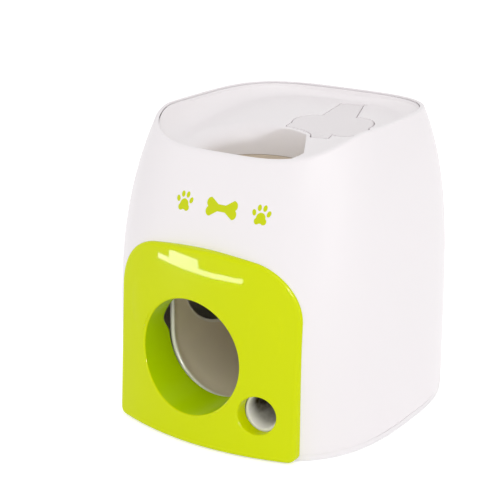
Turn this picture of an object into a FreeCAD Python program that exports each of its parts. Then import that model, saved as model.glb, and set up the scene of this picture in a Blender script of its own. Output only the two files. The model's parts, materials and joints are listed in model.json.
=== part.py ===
"""Gravity-fed fetch toy for dogs: a ball dropped in the top well trips a paddle, the paddle turns
a portion drum through a gear pair, a little kibble runs down the chute, and the ball rolls out.

Frame: +Z up, -Y is the front (the lime panel), origin under the middle of the whole box.
Everything is drawn about the casing's own middle and moved by frame_shift_y when it is saved.
Lengths are millimetres, angles degrees.
"""
import FreeCAD, Part
import math
import os

V = FreeCAD.Vector
X_AXIS = V(1, 0, 0)
Y_AXIS = V(0, 1, 0)
Z_AXIS = V(0, 0, 1)
FAR = 400.0

# ------------------------------------------------------------------ casing
base_half_x = 98.4
base_half_y = 105.4
base_corner_power = 2.83
rim_half_x = 77.9
rim_half_y = 77.8
rim_corner_power = 3.19
rim_shift_y = 4.3
waist = 1.84
lean_power = 4.08
rim_low = 176.5
rim_high = 201.0
rim_step_y = -67.45
rim_step_length = 80.5
shell_wall = 2.6
ring_points = 56
loft_run_on = 24.0

# ------------------------------------------------------------------ base plate, feet, fasteners
foot_drop = 1.0
base_thickness = 3.5
base_edge_step = 0.2
seam_gap = 0.3
base_lip_height = 4.0
base_lip_wall = 2.0
foot_radius = 8.0
foot_recess = 0.8
foot_inset_x = 40.0
foot_inset_y = 22.0
screw_radius = 1.5
screw_head_radius = 2.9
screw_head_height = 1.8
screw_head_gap = 0.3
screw_clearance = 0.2
thread_gap = 0.05
drive_slot = (3.2, 0.6, 0.9)
boss_radius = 4.5
base_boss_height = 26.0
base_screw_inset_x = 25.0
base_screw_inset_y = 30.0
base_screw_bite = 14.0
boss_web_half = 1.2
seat_gap = 0.15
bezel_screw_stand = 1.9

# ------------------------------------------------------------------ front panel
bezel_half_width = 69.5
bezel_shoulder_z = 121.5
bezel_arch = 8.4
bezel_top_radius = 36.0
bezel_bottom_radius = 5.0
bezel_proud = 4.64
bezel_lean = 0.0689
bezel_side_stand = 2.87
bezel_edge_round = 2.4
ball_hole_radius = 38.0
ball_hole_x = -6.0
ball_hole_z = 58.6
ball_hole_depth = 33.0
tunnel_turn_x = 0.06
tunnel_rise = 0.05
tunnel_wall = 2.2
treat_hole_radius = 12.4
treat_hole_x = 44.6
treat_hole_z = 29.9
treat_collar_wall = 1.8
treat_collar_inset = 9.8
hole_gap = 0.4
bezel_screw_low_z = 18.0
bezel_screw_low_inset = 9.5
bezel_screw_high_inset = 17.5
bezel_screw_high_drop = 15.0
collar_screw_inset = 6.5
collar_screw_z = 14.0
bezel_skin = 1.4

# ------------------------------------------------------------------ top tray and lid
tray_wall = 2.2
tray_gap = 0.35
tray_drop = 0.8
floor_z_middle = 185.0
floor_slope = 0.108
floor_half_x = 62.5
floor_half_y = 66.4
floor_middle_y = 8.3
floor_corner_power = 2.8
dish_plan_mix = 0.62
dish_height_mix = 0.22
well_radius = 37.6
well_x = -5.8
well_y = -30.4
well_flat_reach = 33.2
well_flat_turn = 29.3
well_wall = 2.0
well_collar_bottom = 166.0
drop_tube_bottom = 100.0
socket_bottom = 160.0
socket_top = 172.0
tray_boss_x = 62.0
tray_boss_ys = (-34.0, 52.0)
tray_lug_top = 170.0
tray_lug_thickness = 3.0
tray_lug_width = 12.0
tray_screw_bite = 5.0
lid_x = 18.95
lid_y = 23.9
lid_turn = 11.6
lid_thickness = 2.4
lid_gap = 0.4
lobe_x = 14.5
lobe_y = 5.6
lobe_radius = 14.0
lid_waist_half = 15.5
tab_root_half = 13.4
tab_root_y = 10.0
tab_end_half = 8.6
front_tab_half = 8.0
front_tab_y = -25.6
hinge_y = 46.2
hinge_pin_radius = 1.1
hinge_gap = 0.06
knuckle_radius = 2.2
pin_end = 4.0
pin_seat_gap = 0.03
pin_end_gap = 0.2
lid_rib_half = 14.0
finger_dip_radius = 9.0
finger_dip_y = 7.5
finger_dip_z = 7.8
pad_depth = 6.0
pad_half_x = 37.5
pad_front_y = -29.0
pad_back_y = 24.0
mouth_half_x = 21.0
mouth_half_y = 12.6
hopper_screw_reach = 11.5
hopper_screw_bite = 2.6
lid_well_margin = 3.0

# ------------------------------------------------------------------ ball scoop
scoop_x = -4.2
scoop_margin = 2.0
scoop_wall = 2.4
scoop_front_inset = 31.8
scoop_back_y = 27.9
scoop_front_z = 60.2
scoop_slope = 4.0
scoop_top = 98.0
trough_height = 70.0
trough_arcs = 5
saddle_y = -15.0
saddle_z = 90.0
saddle_radius = 40.0
leg_ys = (-68.0, 12.0)
leg_thickness = 4.0
leg_half_width = 32.0
leg_foot_half = 40.0
leg_foot_length = 12.0
leg_foot_height = 3.0
leg_screw_x = 36.0
leg_reach = 6.0

# ------------------------------------------------------------------ paddle, shaft, spring
shaft_x = 44.0
shaft_z = 96.0
shaft_radius = 2.5
shaft_front_y = -69.5
shaft_back_y = 48.0
shaft_running_gap = 0.05
bush_wall = 1.45
bush_flange = 1.0
press_gap = 0.02
ear_radius = 7.6
front_ear_y = (-66.0, -60.0)
back_ear_y = (23.6, 33.4)
ear_gusset_drop = 24.0
paddle_y = (-38.0, 4.0)
paddle_length = 46.0
paddle_thickness = 2.4
paddle_hub_radius = 5.0
paddle_rest_tilt = 10.0
paddle_ribs = 3
paddle_rib_height = 3.0
paddle_rib_thickness = 1.6
paddle_rib_inset = 4.0
paddle_rib_start = 12.0
spring_wire = 0.45
spring_radius = 4.2
spring_turns = 9
spring_y = (-57.6, -40.6)
spring_leg = 7.0
spring_touch = 0.15
spring_peg_radius = 0.9
spring_peg_reach = 3.5
spring_lug_near = 3.5
spring_lug_far = 6.0
spring_lug_thickness = 2.4
spring_lug_root = 2.0
clip_thickness = 0.8
clip_width = 2.1
clip_grip = 0.5
clip_gap = 0.05
clip_inset = 1.2
shaft_chamfer = 0.4

# ------------------------------------------------------------------ gear pair and portion drum
gear_module = 1.25
gear_teeth = 36
pinion_teeth = 13
gear_y = (40.5, 45.5)
gear_line_angle = 36.87
tooth_height = 0.8
root_depth = 1.1
flank_relief = 0.10
pressure_angle = 20.0
sector_back = 75.0
sector_ahead = 15.0
sector_hub_radius = 6.0
sector_hub_start = 3.4
sector_hole_radius = 3.2
sector_hole_reach = 13.2
pinion_hub_radius = 4.4
pinion_hub_start = 5.2
drum_radius = 17.5
drum_gap = 0.4
drum_y = (9.4, 33.2)
pocket_radius = 8.5
pocket_offset = 13.0
drum_end_wall = 2.0
drum_core_angles = (200, 270, 340)
drum_core_radius = 4.0
drum_core_reach = 10.6
axle_radius = 2.0
axle_y = (-1.0, 48.0)
housing_wall = 2.6
housing_y = (6.0, 34.0)
housing_boss_radius = 6.0
housing_boss_length = 2.6
cap_thickness = 2.2
cap_boss_length = 1.8
cap_ear_radius = 3.4
cap_screw_reach = 2.2
cap_screw_length = 8.0
cap_screw_depth = 9.0
neck_half_x = 11.5
neck_wall = 2.0
neck_top = 136.0
flange_thickness = 2.4
flange_margin = 5.6
spout_radius = 11.5
spout_wall = 1.8
spout_bottom = 88.0
hopper_wall = 2.0
wiper_thickness = 1.4
wiper_gap = 0.1
wiper_drum_gap = 0.3
cap_screw_angles = (150.0, 236.0, 304.0)

# ------------------------------------------------------------------ treat chute
chute_radius = 11.5
chute_wall = 1.6
chute_elbow_z = 80.0
chute_cup_radius = 15.4
chute_cup_top = 92.0
chute_cup_bottom = 84.0
chute_end_gap = 0.4
chute_leg_y = -38.0
chute_leg_half = 3.0
chute_foot_half = 9.0
chute_foot_depth = 6.0
chute_foot_screw_inset = 3.4
chute_post_half = 2.0
chute_back_post_depth = 5.0

# ------------------------------------------------------------------ worked out
base_top = foot_drop + base_thickness
shell_bottom = base_top + seam_gap
frame_shift_y = bezel_proud / 2
gear_distance = gear_module * (gear_teeth + pinion_teeth) / 2
drum_x = shaft_x + gear_distance * math.cos(math.radians(gear_line_angle))
drum_z = shaft_z + gear_distance * math.sin(math.radians(gear_line_angle))
neck_y = (drum_y[0] - 0.2, drum_y[1] - 1.4)
drum_mid_y = (neck_y[0] + neck_y[1]) / 2
bush_radius = shaft_radius + shaft_running_gap + bush_wall
tray_outset = shell_wall + tray_gap
spring_leg_top = spring_radius + spring_wire + spring_touch
casing_side_share = (1 - (bezel_half_width / base_half_x) ** base_corner_power) ** (1 / base_corner_power)
bezel_side_drop = base_half_y * (1 - casing_side_share) - bezel_side_stand
bezel_plan_radius = bezel_half_width ** 2 / (2 * bezel_side_drop)
treat_collar_end_y = treat_collar_inset - base_half_y
scoop_radius = ball_hole_radius + scoop_margin
scoop_front_y = scoop_front_inset - base_half_y
scoop_length = scoop_back_y - scoop_front_y


# ------------------------------------------------------------------ small makers
def box(x0, x1, y0, y1, z0, z1):
    return Part.makeBox(x1 - x0, y1 - y0, z1 - z0, V(x0, y0, z0))


def rod(radius, start, direction, length):
    return Part.makeCylinder(radius, length, start, direction)


def upright(radius, x, y, z0, z1):
    return rod(radius, V(x, y, z0), Z_AXIS, z1 - z0)


def along_y(radius, x, z, y0, y1):
    return rod(radius, V(x, y0, z), Y_AXIS, y1 - y0)


def join(shapes):
    return shapes[0].multiFuse(shapes[1:]).removeSplitter()


def carve(shape, cutters):
    for cutter in cutters:
        shape = shape.cut(cutter)
    return shape


def prism(points, z0, z1):
    wire = Part.makePolygon([V(x, y, z0) for x, y in points] + [V(points[0][0], points[0][1], z0)])
    return Part.Face(wire).extrude(V(0, 0, z1 - z0))


def screw(seat, direction, length):
    """A pan-head screw whose head's underside is at seat and whose shank runs along direction."""
    shank = rod(screw_radius, seat, direction, length)
    head = rod(screw_head_radius, seat, direction * -1, screw_head_height)
    top = seat - direction * screw_head_height
    side = direction.cross(Z_AXIS) if abs(direction.z) < 0.5 else X_AXIS
    other = direction.cross(side)
    solid = shank.fuse(head)
    for along, across in ((side, other), (other, side)):
        slot = Part.makeBox(*drive_slot)
        slot.translate(V(*drive_slot) * -0.5)
        frame = FreeCAD.Rotation(along, across, direction, "XYZ")
        slot.Placement = FreeCAD.Placement(top, frame) * slot.Placement
        solid = solid.cut(slot)
    return solid


def save(name, shape):
    shape = shape.copy()
    shape.translate(V(0, frame_shift_y, 0))
    shape.exportStep("parts/" + name + ".step")
    print(name, len(shape.Solids), shape.isValid(), round(shape.Volume, 1))


# ------------------------------------------------------------------ the casing's form
def rim_height(y):
    t = min(max((y - rim_step_y) / rim_step_length + 0.5, 0.0), 1.0)
    return rim_low + (rim_high - rim_low) * t * t * (3 - 2 * t)


def oval_point(half_x, half_y, power, angle):
    across = abs(math.cos(angle)) / half_x
    deep = abs(math.sin(angle)) / half_y
    radius = (across ** power + deep ** power) ** (-1 / power)
    return radius * math.cos(angle), radius * math.sin(angle)


def body_point(u, angle, grow):
    """A point of the casing's skin: u is 0 at the floor and 1 at the rim."""
    lean = u ** lean_power
    draw_in = waist * 4 * u * (1 - u)
    half_x = base_half_x + (rim_half_x - base_half_x) * lean - draw_in + grow
    half_y = base_half_y + (rim_half_y - base_half_y) * lean - draw_in + grow
    power = base_corner_power + (rim_corner_power - base_corner_power) * min(u, 1.0)
    x, y = oval_point(half_x, half_y, power, angle)
    y = y + rim_shift_y * lean
    return V(x, y, rim_height(y) * u)


def ring(points):
    curve = Part.BSplineCurve()
    count = len(points)
    curve.interpolate(Points=points, PeriodicFlag=True, Parameters=[i / count for i in range(count + 1)])
    return Part.Wire([curve.toShape()])


def ring_angles():
    return [2 * math.pi * i / ring_points for i in range(ring_points)]


def flat_at(points, z):
    return [V(p.x, p.y, z) for p in points]


def body_solid(grow):
    """The casing's outer form, grown or shrunk in plan, running on past the rim."""
    rings = []
    for u in (0.0, 0.12, 0.26, 0.4, 0.54, 0.68, 0.8, 0.9, 1.0, 1.06):
        rings.append(ring([body_point(u, a, grow) for a in ring_angles()]))
    top = [body_point(1.1, a, grow) for a in ring_angles()]
    rings.append(ring(flat_at(top, rim_high + loft_run_on)))
    return Part.makeLoft(rings, True, False)


def above_rim(drop):
    """Everything above the S-curved rim line lowered by drop."""
    start = rim_step_y - rim_step_length / 2
    third = rim_step_length / 3
    low = rim_low - drop
    high = rim_high - drop
    curve = Part.BezierCurve()
    curve.setPoles([V(-FAR / 2, start, low), V(-FAR / 2, start + third, low),
                    V(-FAR / 2, start + 2 * third, high), V(-FAR / 2, start + 3 * third, high)])
    corners = [V(-FAR / 2, start + 3 * third, high), V(-FAR / 2, FAR / 2, high), V(-FAR / 2, FAR / 2, FAR),
               V(-FAR / 2, -FAR / 2, FAR), V(-FAR / 2, -FAR / 2, low), V(-FAR / 2, start, low)]
    edges = [curve.toShape()]
    for a, b in zip(corners, corners[1:]):
        edges.append(Part.makeLine(a, b))
    return Part.Face(Part.Wire(edges)).extrude(V(FAR, 0, 0))


def tunnel_line():
    """Start and direction of the ball tunnel's axis, running back into the casing."""
    start = V(ball_hole_x, -base_half_y - bezel_proud - 2.0, ball_hole_z - 0.2)
    direction = V(tunnel_turn_x, 1.0, tunnel_rise)
    return start, direction.normalize()


def base_screw_places():
    x = base_half_x - base_screw_inset_x
    y = base_half_y - base_screw_inset_y
    return [(sx * x, sy * y) for sx in (-1, 1) for sy in (-1, 1)]


def bezel_screw_places():
    high_x = bezel_half_width - bezel_screw_high_inset
    high_z = bezel_shoulder_z - bezel_screw_high_drop
    return [(bezel_screw_low_inset - bezel_half_width, bezel_screw_low_z),
            (bezel_half_width - collar_screw_inset, collar_screw_z), (-high_x, high_z), (high_x, high_z)]


def tray_boss_places():
    return [(sx * tray_boss_x, y) for sx in (-1, 1) for y in tray_boss_ys]


def front_wall_y(x, z, grow):
    """Front skin of the casing above a point, from the ring formula near the height z."""
    u = z / rim_low
    lean = u ** lean_power
    draw_in = waist * 4 * u * (1 - u)
    half_x = base_half_x + (rim_half_x - base_half_x) * lean - draw_in + grow
    half_y = base_half_y + (rim_half_y - base_half_y) * lean - draw_in + grow
    power = base_corner_power + (rim_corner_power - base_corner_power) * u
    return rim_shift_y * lean - half_y * (1 - (abs(x) / half_x) ** power) ** (1 / power)


def make_outer_shell(outer, inner, middle):
    start, direction = tunnel_line()
    shell = outer.cut(inner)
    posts = []
    for x, y in base_screw_places():
        post = upright(boss_radius, x, y, shell_bottom, shell_bottom + base_boss_height)
        side = math.copysign(1, x)
        web_far = x + side * base_screw_inset_x
        web = box(min(x, web_far), max(x, web_far), y - boss_web_half, y + boss_web_half, shell_bottom,
                  shell_bottom + base_boss_height)
        posts.append(post.fuse(web).common(middle))
    for x, y in tray_boss_places():
        side = math.copysign(1, x)
        inside = x - side * boss_radius
        lug = box(min(inside, side * rim_half_x * 1.3), max(inside, side * rim_half_x * 1.3),
                  y - tray_lug_width / 2, y + tray_lug_width / 2,
                  tray_lug_top - tray_lug_thickness, tray_lug_top)
        posts.append(lug.common(middle))
    shell = join([shell] + posts)
    hole = screw_radius + screw_clearance
    cutters = [above_rim(0.0), box(-FAR, FAR, -FAR, FAR, -FAR, shell_bottom)]
    cutters.append(rod(ball_hole_radius + tunnel_wall + hole_gap, start, direction, 60.0))
    cutters.append(along_y(treat_hole_radius + treat_collar_wall + hole_gap, treat_hole_x, treat_hole_z,
                           -base_half_y - 10, -base_half_y + 30))
    for x, z in bezel_screw_places():
        cutters.append(along_y(hole, x, z, -base_half_y - 10, -base_half_y + 40))
    for x, y in base_screw_places():
        cutters.append(upright(screw_radius + thread_gap, x, y, 0, shell_bottom + base_screw_bite))
    for x, y in tray_boss_places():
        cutters.append(upright(hole, x, y, tray_lug_top - 10, tray_lug_top + 1))
    return carve(shell, cutters)


# ------------------------------------------------------------------ front panel
def bezel_outline_solid():
    """The panel's outline as a block: straight sides, an arched top and corner arcs tangent to both."""
    half = bezel_half_width
    bottom = foot_drop
    low = bezel_bottom_radius
    turn = bezel_top_radius
    arch_radius = half ** 2 / (2 * bezel_arch)
    arch_centre = bezel_shoulder_z + bezel_arch - arch_radius
    rise = math.sqrt((arch_radius - turn) ** 2 - (half - turn) ** 2)
    side_top = arch_centre + rise
    meet_share = arch_radius / (arch_radius - turn)
    meet_x = (half - turn) * meet_share
    meet_z = arch_centre + rise * meet_share
    bend = math.atan2(rise, half - turn) / 2
    bend_x = half - turn + turn * math.cos(bend)
    bend_z = side_top + turn * math.sin(bend)
    cut_in = low * (1 - math.sqrt(0.5))
    top_z = bezel_shoulder_z + bezel_arch
    y = -base_half_y - 30.0

    def line(x0, z0, x1, z1):
        return Part.makeLine(V(x0, y, z0), V(x1, y, z1))

    def arc(x0, z0, x1, z1, x2, z2):
        return Part.Arc(V(x0, y, z0), V(x1, y, z1), V(x2, y, z2)).toShape()

    edges = [line(-half + low, bottom, half - low, bottom)]
    edges.append(arc(half - low, bottom, half - cut_in, bottom + cut_in, half, bottom + low))
    edges.append(line(half, bottom + low, half, side_top))
    edges.append(arc(half, side_top, bend_x, bend_z, meet_x, meet_z))
    edges.append(arc(meet_x, meet_z, 0, top_z, -meet_x, meet_z))
    edges.append(arc(-meet_x, meet_z, -bend_x, bend_z, -half, side_top))
    edges.append(line(-half, side_top, -half, bottom + low))
    edges.append(arc(-half, bottom + low, -half + cut_in, bottom + cut_in, -half + low, bottom))
    return Part.Face(Part.Wire(edges)).extrude(V(0, 80.0, 0))


def bezel_front_y(x, z):
    return -(base_half_y + bezel_proud - bezel_lean * z - x * x / (2 * bezel_plan_radius))


def make_front_bezel(seat):
    """Lime panel lying on the casing's front, with the ball tunnel and the treat collar."""
    lean = V(0, bezel_lean, 1.0).normalize()
    centre = V(0, -base_half_y - bezel_proud + bezel_plan_radius, 0) - lean * 50.0
    barrel = rod(bezel_plan_radius, centre, lean, 300.0)
    slab = bezel_outline_solid().common(barrel)
    front_edges = [e for e in slab.Edges if is_front_edge(e)]
    slab = slab.makeFillet(bezel_edge_round, front_edges)
    panel = slab.cut(seat)
    start, direction = tunnel_line()
    tunnel = rod(ball_hole_radius + tunnel_wall, start, direction, ball_hole_depth + 4.0)
    collar = along_y(treat_hole_radius + treat_collar_wall, treat_hole_x, treat_hole_z,
                     -base_half_y - 4.0, treat_collar_end_y)
    tubes = tunnel.fuse(collar).common(barrel)
    bezel = join([panel, tubes])
    cutters = [rod(ball_hole_radius, start - direction * 20, direction, ball_hole_depth + 40.0)]
    cutters.append(along_y(treat_hole_radius, treat_hole_x, treat_hole_z, -base_half_y - 20,
                           treat_collar_end_y + 20))
    for x, z in bezel_screw_places():
        skin = front_wall_y(x, z, 0.0)
        cutters.append(along_y(screw_radius + thread_gap, x, z, bezel_front_y(x, z) + bezel_skin, skin + 10))
    return carve(bezel, cutters)


def is_front_edge(edge):
    """Edges of the bezel's front face: every one of their points lies on the leaning barrel."""
    for share in (0.1, 0.5, 0.9):
        first, last = edge.ParameterRange
        p = edge.valueAt(first + (last - first) * share)
        if abs(p.y - bezel_front_y(p.x, p.z)) > 0.6:
            return False
    return True


# ------------------------------------------------------------------ base
def foot_places():
    x = base_half_x - foot_inset_x
    y = base_half_y - foot_inset_y
    return [(sx * x, sy * y) for sx in (-1, 1) for sy in (-1, 1)]


def body_slab(z0, z1, grow):
    """A flat slab with the casing's plan at the floor."""
    points = [body_point(0.0, a, grow) for a in ring_angles()]
    face = Part.Face(ring(flat_at(points, z0)))
    return face.extrude(V(0, 0, z1 - z0))


def base_fixings():
    """Upright screws through the base plate into the scoop's and the chute's feet."""
    places = []
    for y in leg_ys:
        for side in (-1, 1):
            places.append((scoop_x + side * leg_screw_x, y + leg_foot_length / 2 - leg_thickness / 2))
    return places


def chute_fixings():
    x_low, y_low = chute_point(chute_leg_y)[0], chute_leg_y
    reach = chute_foot_half - chute_foot_screw_inset
    return [(x_low - reach, y_low), (x_low + reach, y_low), (drum_x - reach, drum_mid_y),
            (drum_x + reach, drum_mid_y)]


def make_base_plate():
    plate = body_slab(foot_drop, base_top, -base_edge_step)
    inset = shell_wall + 2 * seam_gap
    lip = body_slab(base_top, base_top + base_lip_height, -inset)
    lip = lip.cut(body_slab(base_top, base_top + base_lip_height, -inset - base_lip_wall))
    room = boss_radius + 2 * seam_gap
    gaps = [make_bezel_void()]
    for x, y in base_screw_places():
        far_x = math.copysign(base_half_x, x)
        near_x = x - math.copysign(room, x)
        gaps.append(box(min(near_x, far_x), max(near_x, far_x), y - room, y + room, 0, base_top + 20))
    base = join([plate] + carve(lip, gaps).Solids)
    cutters = []
    for x, y in base_screw_places():
        cutters.append(upright(screw_radius + screw_clearance, x, y, 0, base_top + 1))
        cutters.append(upright(screw_head_radius + screw_head_gap, x, y, 0,
                               foot_drop + screw_head_height + screw_head_gap))
    for x, y in foot_places():
        cutters.append(upright(foot_radius + 0.1, x, y, 0, foot_drop + foot_recess))
    for x, y in base_fixings() + chute_fixings():
        cutters.append(upright(screw_radius + screw_clearance, x, y, 0, base_top + 1))
        cutters.append(upright(screw_head_radius + screw_head_gap, x, y, 0,
                               foot_drop + screw_head_height + screw_head_gap))
    return carve(base, cutters)


def make_bezel_void():
    """Clears the lip where the treat collar and the bezel's low screws pass."""
    width = bezel_half_width + 6
    return box(-width, width, -base_half_y - 5, -base_half_y + 22, 0, base_top + 30)


def make_rubber_feet():
    feet = []
    for x, y in foot_places():
        foot = upright(foot_radius, x, y, 0, foot_drop + foot_recess)
        feet.append(foot.makeFillet(0.5, [foot.Edges[2]]))
    return Part.makeCompound(feet)


# ------------------------------------------------------------------ top tray, lid, drop tube
def floor_z(y):
    return floor_z_middle + floor_slope * y


def dish_rings(grow, lower):
    """Rings of the tray's dish from its sloped floor up past the rim."""
    floor = []
    rim = []
    for angle in ring_angles():
        x, y = oval_point(floor_half_x + grow, floor_half_y + grow, floor_corner_power, angle)
        y = y + floor_middle_y
        floor.append(V(x, y, floor_z(y) - lower))
        edge = body_point(1.0, angle, grow - tray_outset - tray_wall)
        rim.append(V(edge.x, edge.y, edge.z))
    middle = []
    for low, high in zip(floor, rim):
        middle.append(V(low.x + (high.x - low.x) * dish_plan_mix, low.y + (high.y - low.y) * dish_plan_mix,
                        low.z + (high.z - low.z) * dish_height_mix))
    past = [V(p.x, p.y, p.z + 9.0) for p in rim]
    top = flat_at(rim, rim_high + loft_run_on)
    return [ring(floor), ring(middle), ring(rim), ring(past), ring(top)]


def lid_frame():
    tilt = math.degrees(math.atan(floor_slope))
    turn = FreeCAD.Rotation(X_AXIS, tilt).multiply(FreeCAD.Rotation(Z_AXIS, lid_turn))
    return FreeCAD.Placement(V(lid_x, lid_y, floor_z(lid_y)), turn)


def placed(shape, frame):
    shape = shape.copy()
    shape.Placement = frame.multiply(shape.Placement)
    return shape


def well_form(grow, z0, z1):
    """The ball well: a round hole with one flat side towards the lid, grown by grow."""
    beyond = box(well_flat_reach + grow, FAR, -FAR, FAR, z0 - 1, z1 + 1)
    beyond = placed(beyond, FreeCAD.Placement(V(well_x, well_y, 0), FreeCAD.Rotation(Z_AXIS, well_flat_turn)))
    return upright(well_radius + grow, well_x, well_y, z0, z1).cut(beyond)


def lid_form(grow, top, bottom):
    """The lid's bone outline, grown by grow, from top down to bottom in the lid's own frame."""
    pieces = []
    for sx in (-1, 1):
        for sy in (-1, 1):
            pieces.append(upright(lobe_radius + grow, sx * lobe_x, sy * lobe_y, bottom, top))
    pieces.append(box(-lobe_x, lobe_x, -lid_waist_half - grow, lid_waist_half + grow, bottom, top))
    back = [(-tab_root_half - grow, tab_root_y), (tab_root_half + grow, tab_root_y),
            (tab_end_half + grow, hinge_y), (-tab_end_half - grow, hinge_y)]
    pieces.append(prism(back, bottom, top))
    pieces.append(box(-front_tab_half - grow, front_tab_half + grow, front_tab_y - grow, 0, bottom, top))
    return join(pieces)


def make_treat_lid():
    plate = lid_form(0.0, 0.0, -lid_thickness)
    knuckle = rod(knuckle_radius, V(-tab_end_half, hinge_y, -knuckle_radius), X_AXIS, 2 * tab_end_half)
    rib = box(-lid_rib_half, lid_rib_half, -0.8, 0.8, -lid_thickness - 1.6, -lid_thickness)
    lid = join([plate, knuckle, rib])
    lid = lid.cut(rod(hinge_pin_radius + hinge_gap, V(-30, hinge_y, -knuckle_radius), X_AXIS, 60))
    finger = Part.makeSphere(finger_dip_radius, V(0, front_tab_y + finger_dip_y, finger_dip_z))
    lid = placed(lid.cut(finger), lid_frame())
    return lid.cut(well_form(lid_well_margin, 0, FAR))


def hopper_screw_places():
    x = mouth_half_x + hopper_screw_reach
    return [(-x, 0.0), (-x, 17.0), (x, 17.0), (x, -17.0)]


def make_top_tray(inner):
    envelope = Part.makeLoft(dish_rings(tray_wall, tray_wall), True, False)
    cavity = Part.makeLoft(dish_rings(0.0, 0.0), True, False)
    frame = lid_frame()
    pad = join([box(-pad_half_x, pad_half_x, pad_front_y, pad_back_y, -pad_depth, -0.5),
                box(-tab_end_half - 9, tab_end_half + 9, pad_back_y - 1, hinge_y + 6, -pad_depth, -0.5)])
    pad = placed(pad, frame).common(inner)
    collar = upright(well_radius + well_wall, well_x, well_y, well_collar_bottom, rim_high)
    pieces = [envelope, pad, collar]
    for x, y in tray_boss_places():
        pieces.append(upright(boss_radius, x, y, tray_lug_top, floor_z(y) + 2))
    tray = join(pieces)
    recess = lid_form(lid_gap, 4.0, -lid_thickness - 0.25)
    mouth = box(-mouth_half_x, mouth_half_x, -mouth_half_y, mouth_half_y, -20, 0)
    slot = box(-tab_end_half - lid_gap, tab_end_half + lid_gap, hinge_y - 4,
               hinge_y + knuckle_radius + lid_gap, -20, 6)
    pin = rod(hinge_pin_radius + pin_seat_gap, V(-tab_end_half - pin_end, hinge_y, -knuckle_radius), X_AXIS,
              2 * (tab_end_half + pin_end))
    keep_lip = well_form(lid_well_margin - lid_gap, 0, FAR)
    cutters = [cavity, placed(recess, frame).cut(keep_lip), placed(mouth, frame).cut(keep_lip),
               placed(slot, frame), placed(pin, frame), above_rim(tray_drop),
               well_form(0.0, 0, FAR)]
    for x, y in tray_boss_places():
        cutters.append(upright(screw_radius + thread_gap, x, y, tray_lug_top - 1,
                               tray_lug_top + tray_screw_bite + 1))
    for x, y in hopper_screw_places():
        hole = upright(screw_radius + thread_gap, x, y, -pad_depth - 1, -pad_depth + hopper_screw_bite + 0.3)
        cutters.append(placed(hole, frame))
    return carve(tray, cutters)


def make_lid_pin():
    half = tab_end_half + pin_end - pin_end_gap
    pin = rod(hinge_pin_radius, V(-half, hinge_y, -knuckle_radius), X_AXIS, 2 * half)
    return placed(pin, lid_frame())


def make_drop_tube():
    outer = well_radius + well_wall
    tube = upright(outer, well_x, well_y, drop_tube_bottom, socket_bottom + 4)
    socket = upright(outer + seat_gap + well_wall, well_x, well_y, socket_bottom, socket_top)
    bead = Part.makeTorus(outer, 1.2, V(well_x, well_y, drop_tube_bottom + 1.2), Z_AXIS)
    tube = join([tube, socket])
    cutters = [upright(well_radius, well_x, well_y, 0, FAR),
               upright(outer + seat_gap, well_x, well_y, well_collar_bottom - 0.3, FAR)]
    return carve(tube.fuse(bead).common(upright(60, well_x, well_y, drop_tube_bottom, FAR)), cutters)


# ------------------------------------------------------------------ ball scoop
def scoop_frame():
    return FreeCAD.Placement(V(scoop_x, scoop_front_y, scoop_front_z), FreeCAD.Rotation(X_AXIS, scoop_slope))


def trough(radius, length, y0):
    """A U-shaped bar along the scoop's axis: round below in trough_arcs strips, walls above."""
    def at(step):
        turn = -math.pi * step / trough_arcs
        return V(radius * math.cos(turn), y0, radius * math.sin(turn))

    arcs = [Part.Arc(at(k), at(k + 0.5), at(k + 1)).toShape() for k in range(trough_arcs)]
    corners = [V(-radius, y0, 0), V(-radius, y0, trough_height), V(radius, y0, trough_height), V(radius, y0, 0)]
    wire = Part.Wire(arcs + Part.makePolygon(corners).Edges)
    return placed(Part.Face(wire).extrude(V(0, length, 0)), scoop_frame())


def ear(y_range, wall_x):
    boss = along_y(ear_radius, shaft_x, shaft_z, y_range[0], y_range[1])
    gusset = box(wall_x, shaft_x + ear_radius, y_range[0], y_range[1], shaft_z - ear_gusset_drop, shaft_z)
    slope = box(0, 40, y_range[0] - 1, y_range[1] + 1, -40, 0)
    slope.Placement = FreeCAD.Placement(V(wall_x + 3, 0, shaft_z - ear_gusset_drop),
                                        FreeCAD.Rotation(Y_AXIS, -50))
    return boss.fuse(gusset.cut(slope))


def spring_peg():
    """Peg on the front ear that the spring's front leg bears up against."""
    peg = along_y(spring_peg_radius, shaft_x + spring_peg_reach, shaft_z + spring_leg_top + spring_peg_radius,
                  front_ear_y[1] - 2, front_ear_y[1] + 3)
    return turned_y(peg, shaft_x, shaft_z, -paddle_rest_tilt)


def make_ball_scoop():
    outer = trough(scoop_radius + scoop_wall, scoop_length, 0.0)
    inner = trough(scoop_radius, scoop_length + 8, -10.4)
    front = box(-FAR, FAR, -FAR, scoop_front_y, -FAR, FAR)
    pieces = [outer]
    for y in leg_ys:
        pieces.append(box(scoop_x - leg_half_width, scoop_x + leg_half_width, y, y + leg_thickness, base_top,
                          scoop_front_z - leg_reach))
        pieces.append(box(scoop_x - leg_foot_half, scoop_x + leg_foot_half, y, y + leg_foot_length, base_top,
                          base_top + leg_foot_height))
    pieces.append(ear(front_ear_y, scoop_x + scoop_radius))
    pieces.append(ear(back_ear_y, scoop_x + scoop_radius - 4))
    pieces.append(spring_peg())
    scoop = pieces[0].multiFuse(pieces[1:])
    over = box(-FAR, scoop_x + scoop_radius + scoop_wall, -FAR, FAR, scoop_top, FAR)
    saddle = rod(saddle_radius, V(-FAR / 2, saddle_y, saddle_z), X_AXIS, FAR)
    cutters = [inner, front, over, saddle]
    for y_range in (front_ear_y, back_ear_y):
        cutters.append(along_y(bush_radius + press_gap, shaft_x, shaft_z, y_range[0] - 1, y_range[1] + 1))
    for x, y in base_fixings():
        cutters.append(upright(screw_radius + thread_gap, x, y, base_top - 1, base_top + leg_foot_height + 1))
    return carve(scoop, cutters)


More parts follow.
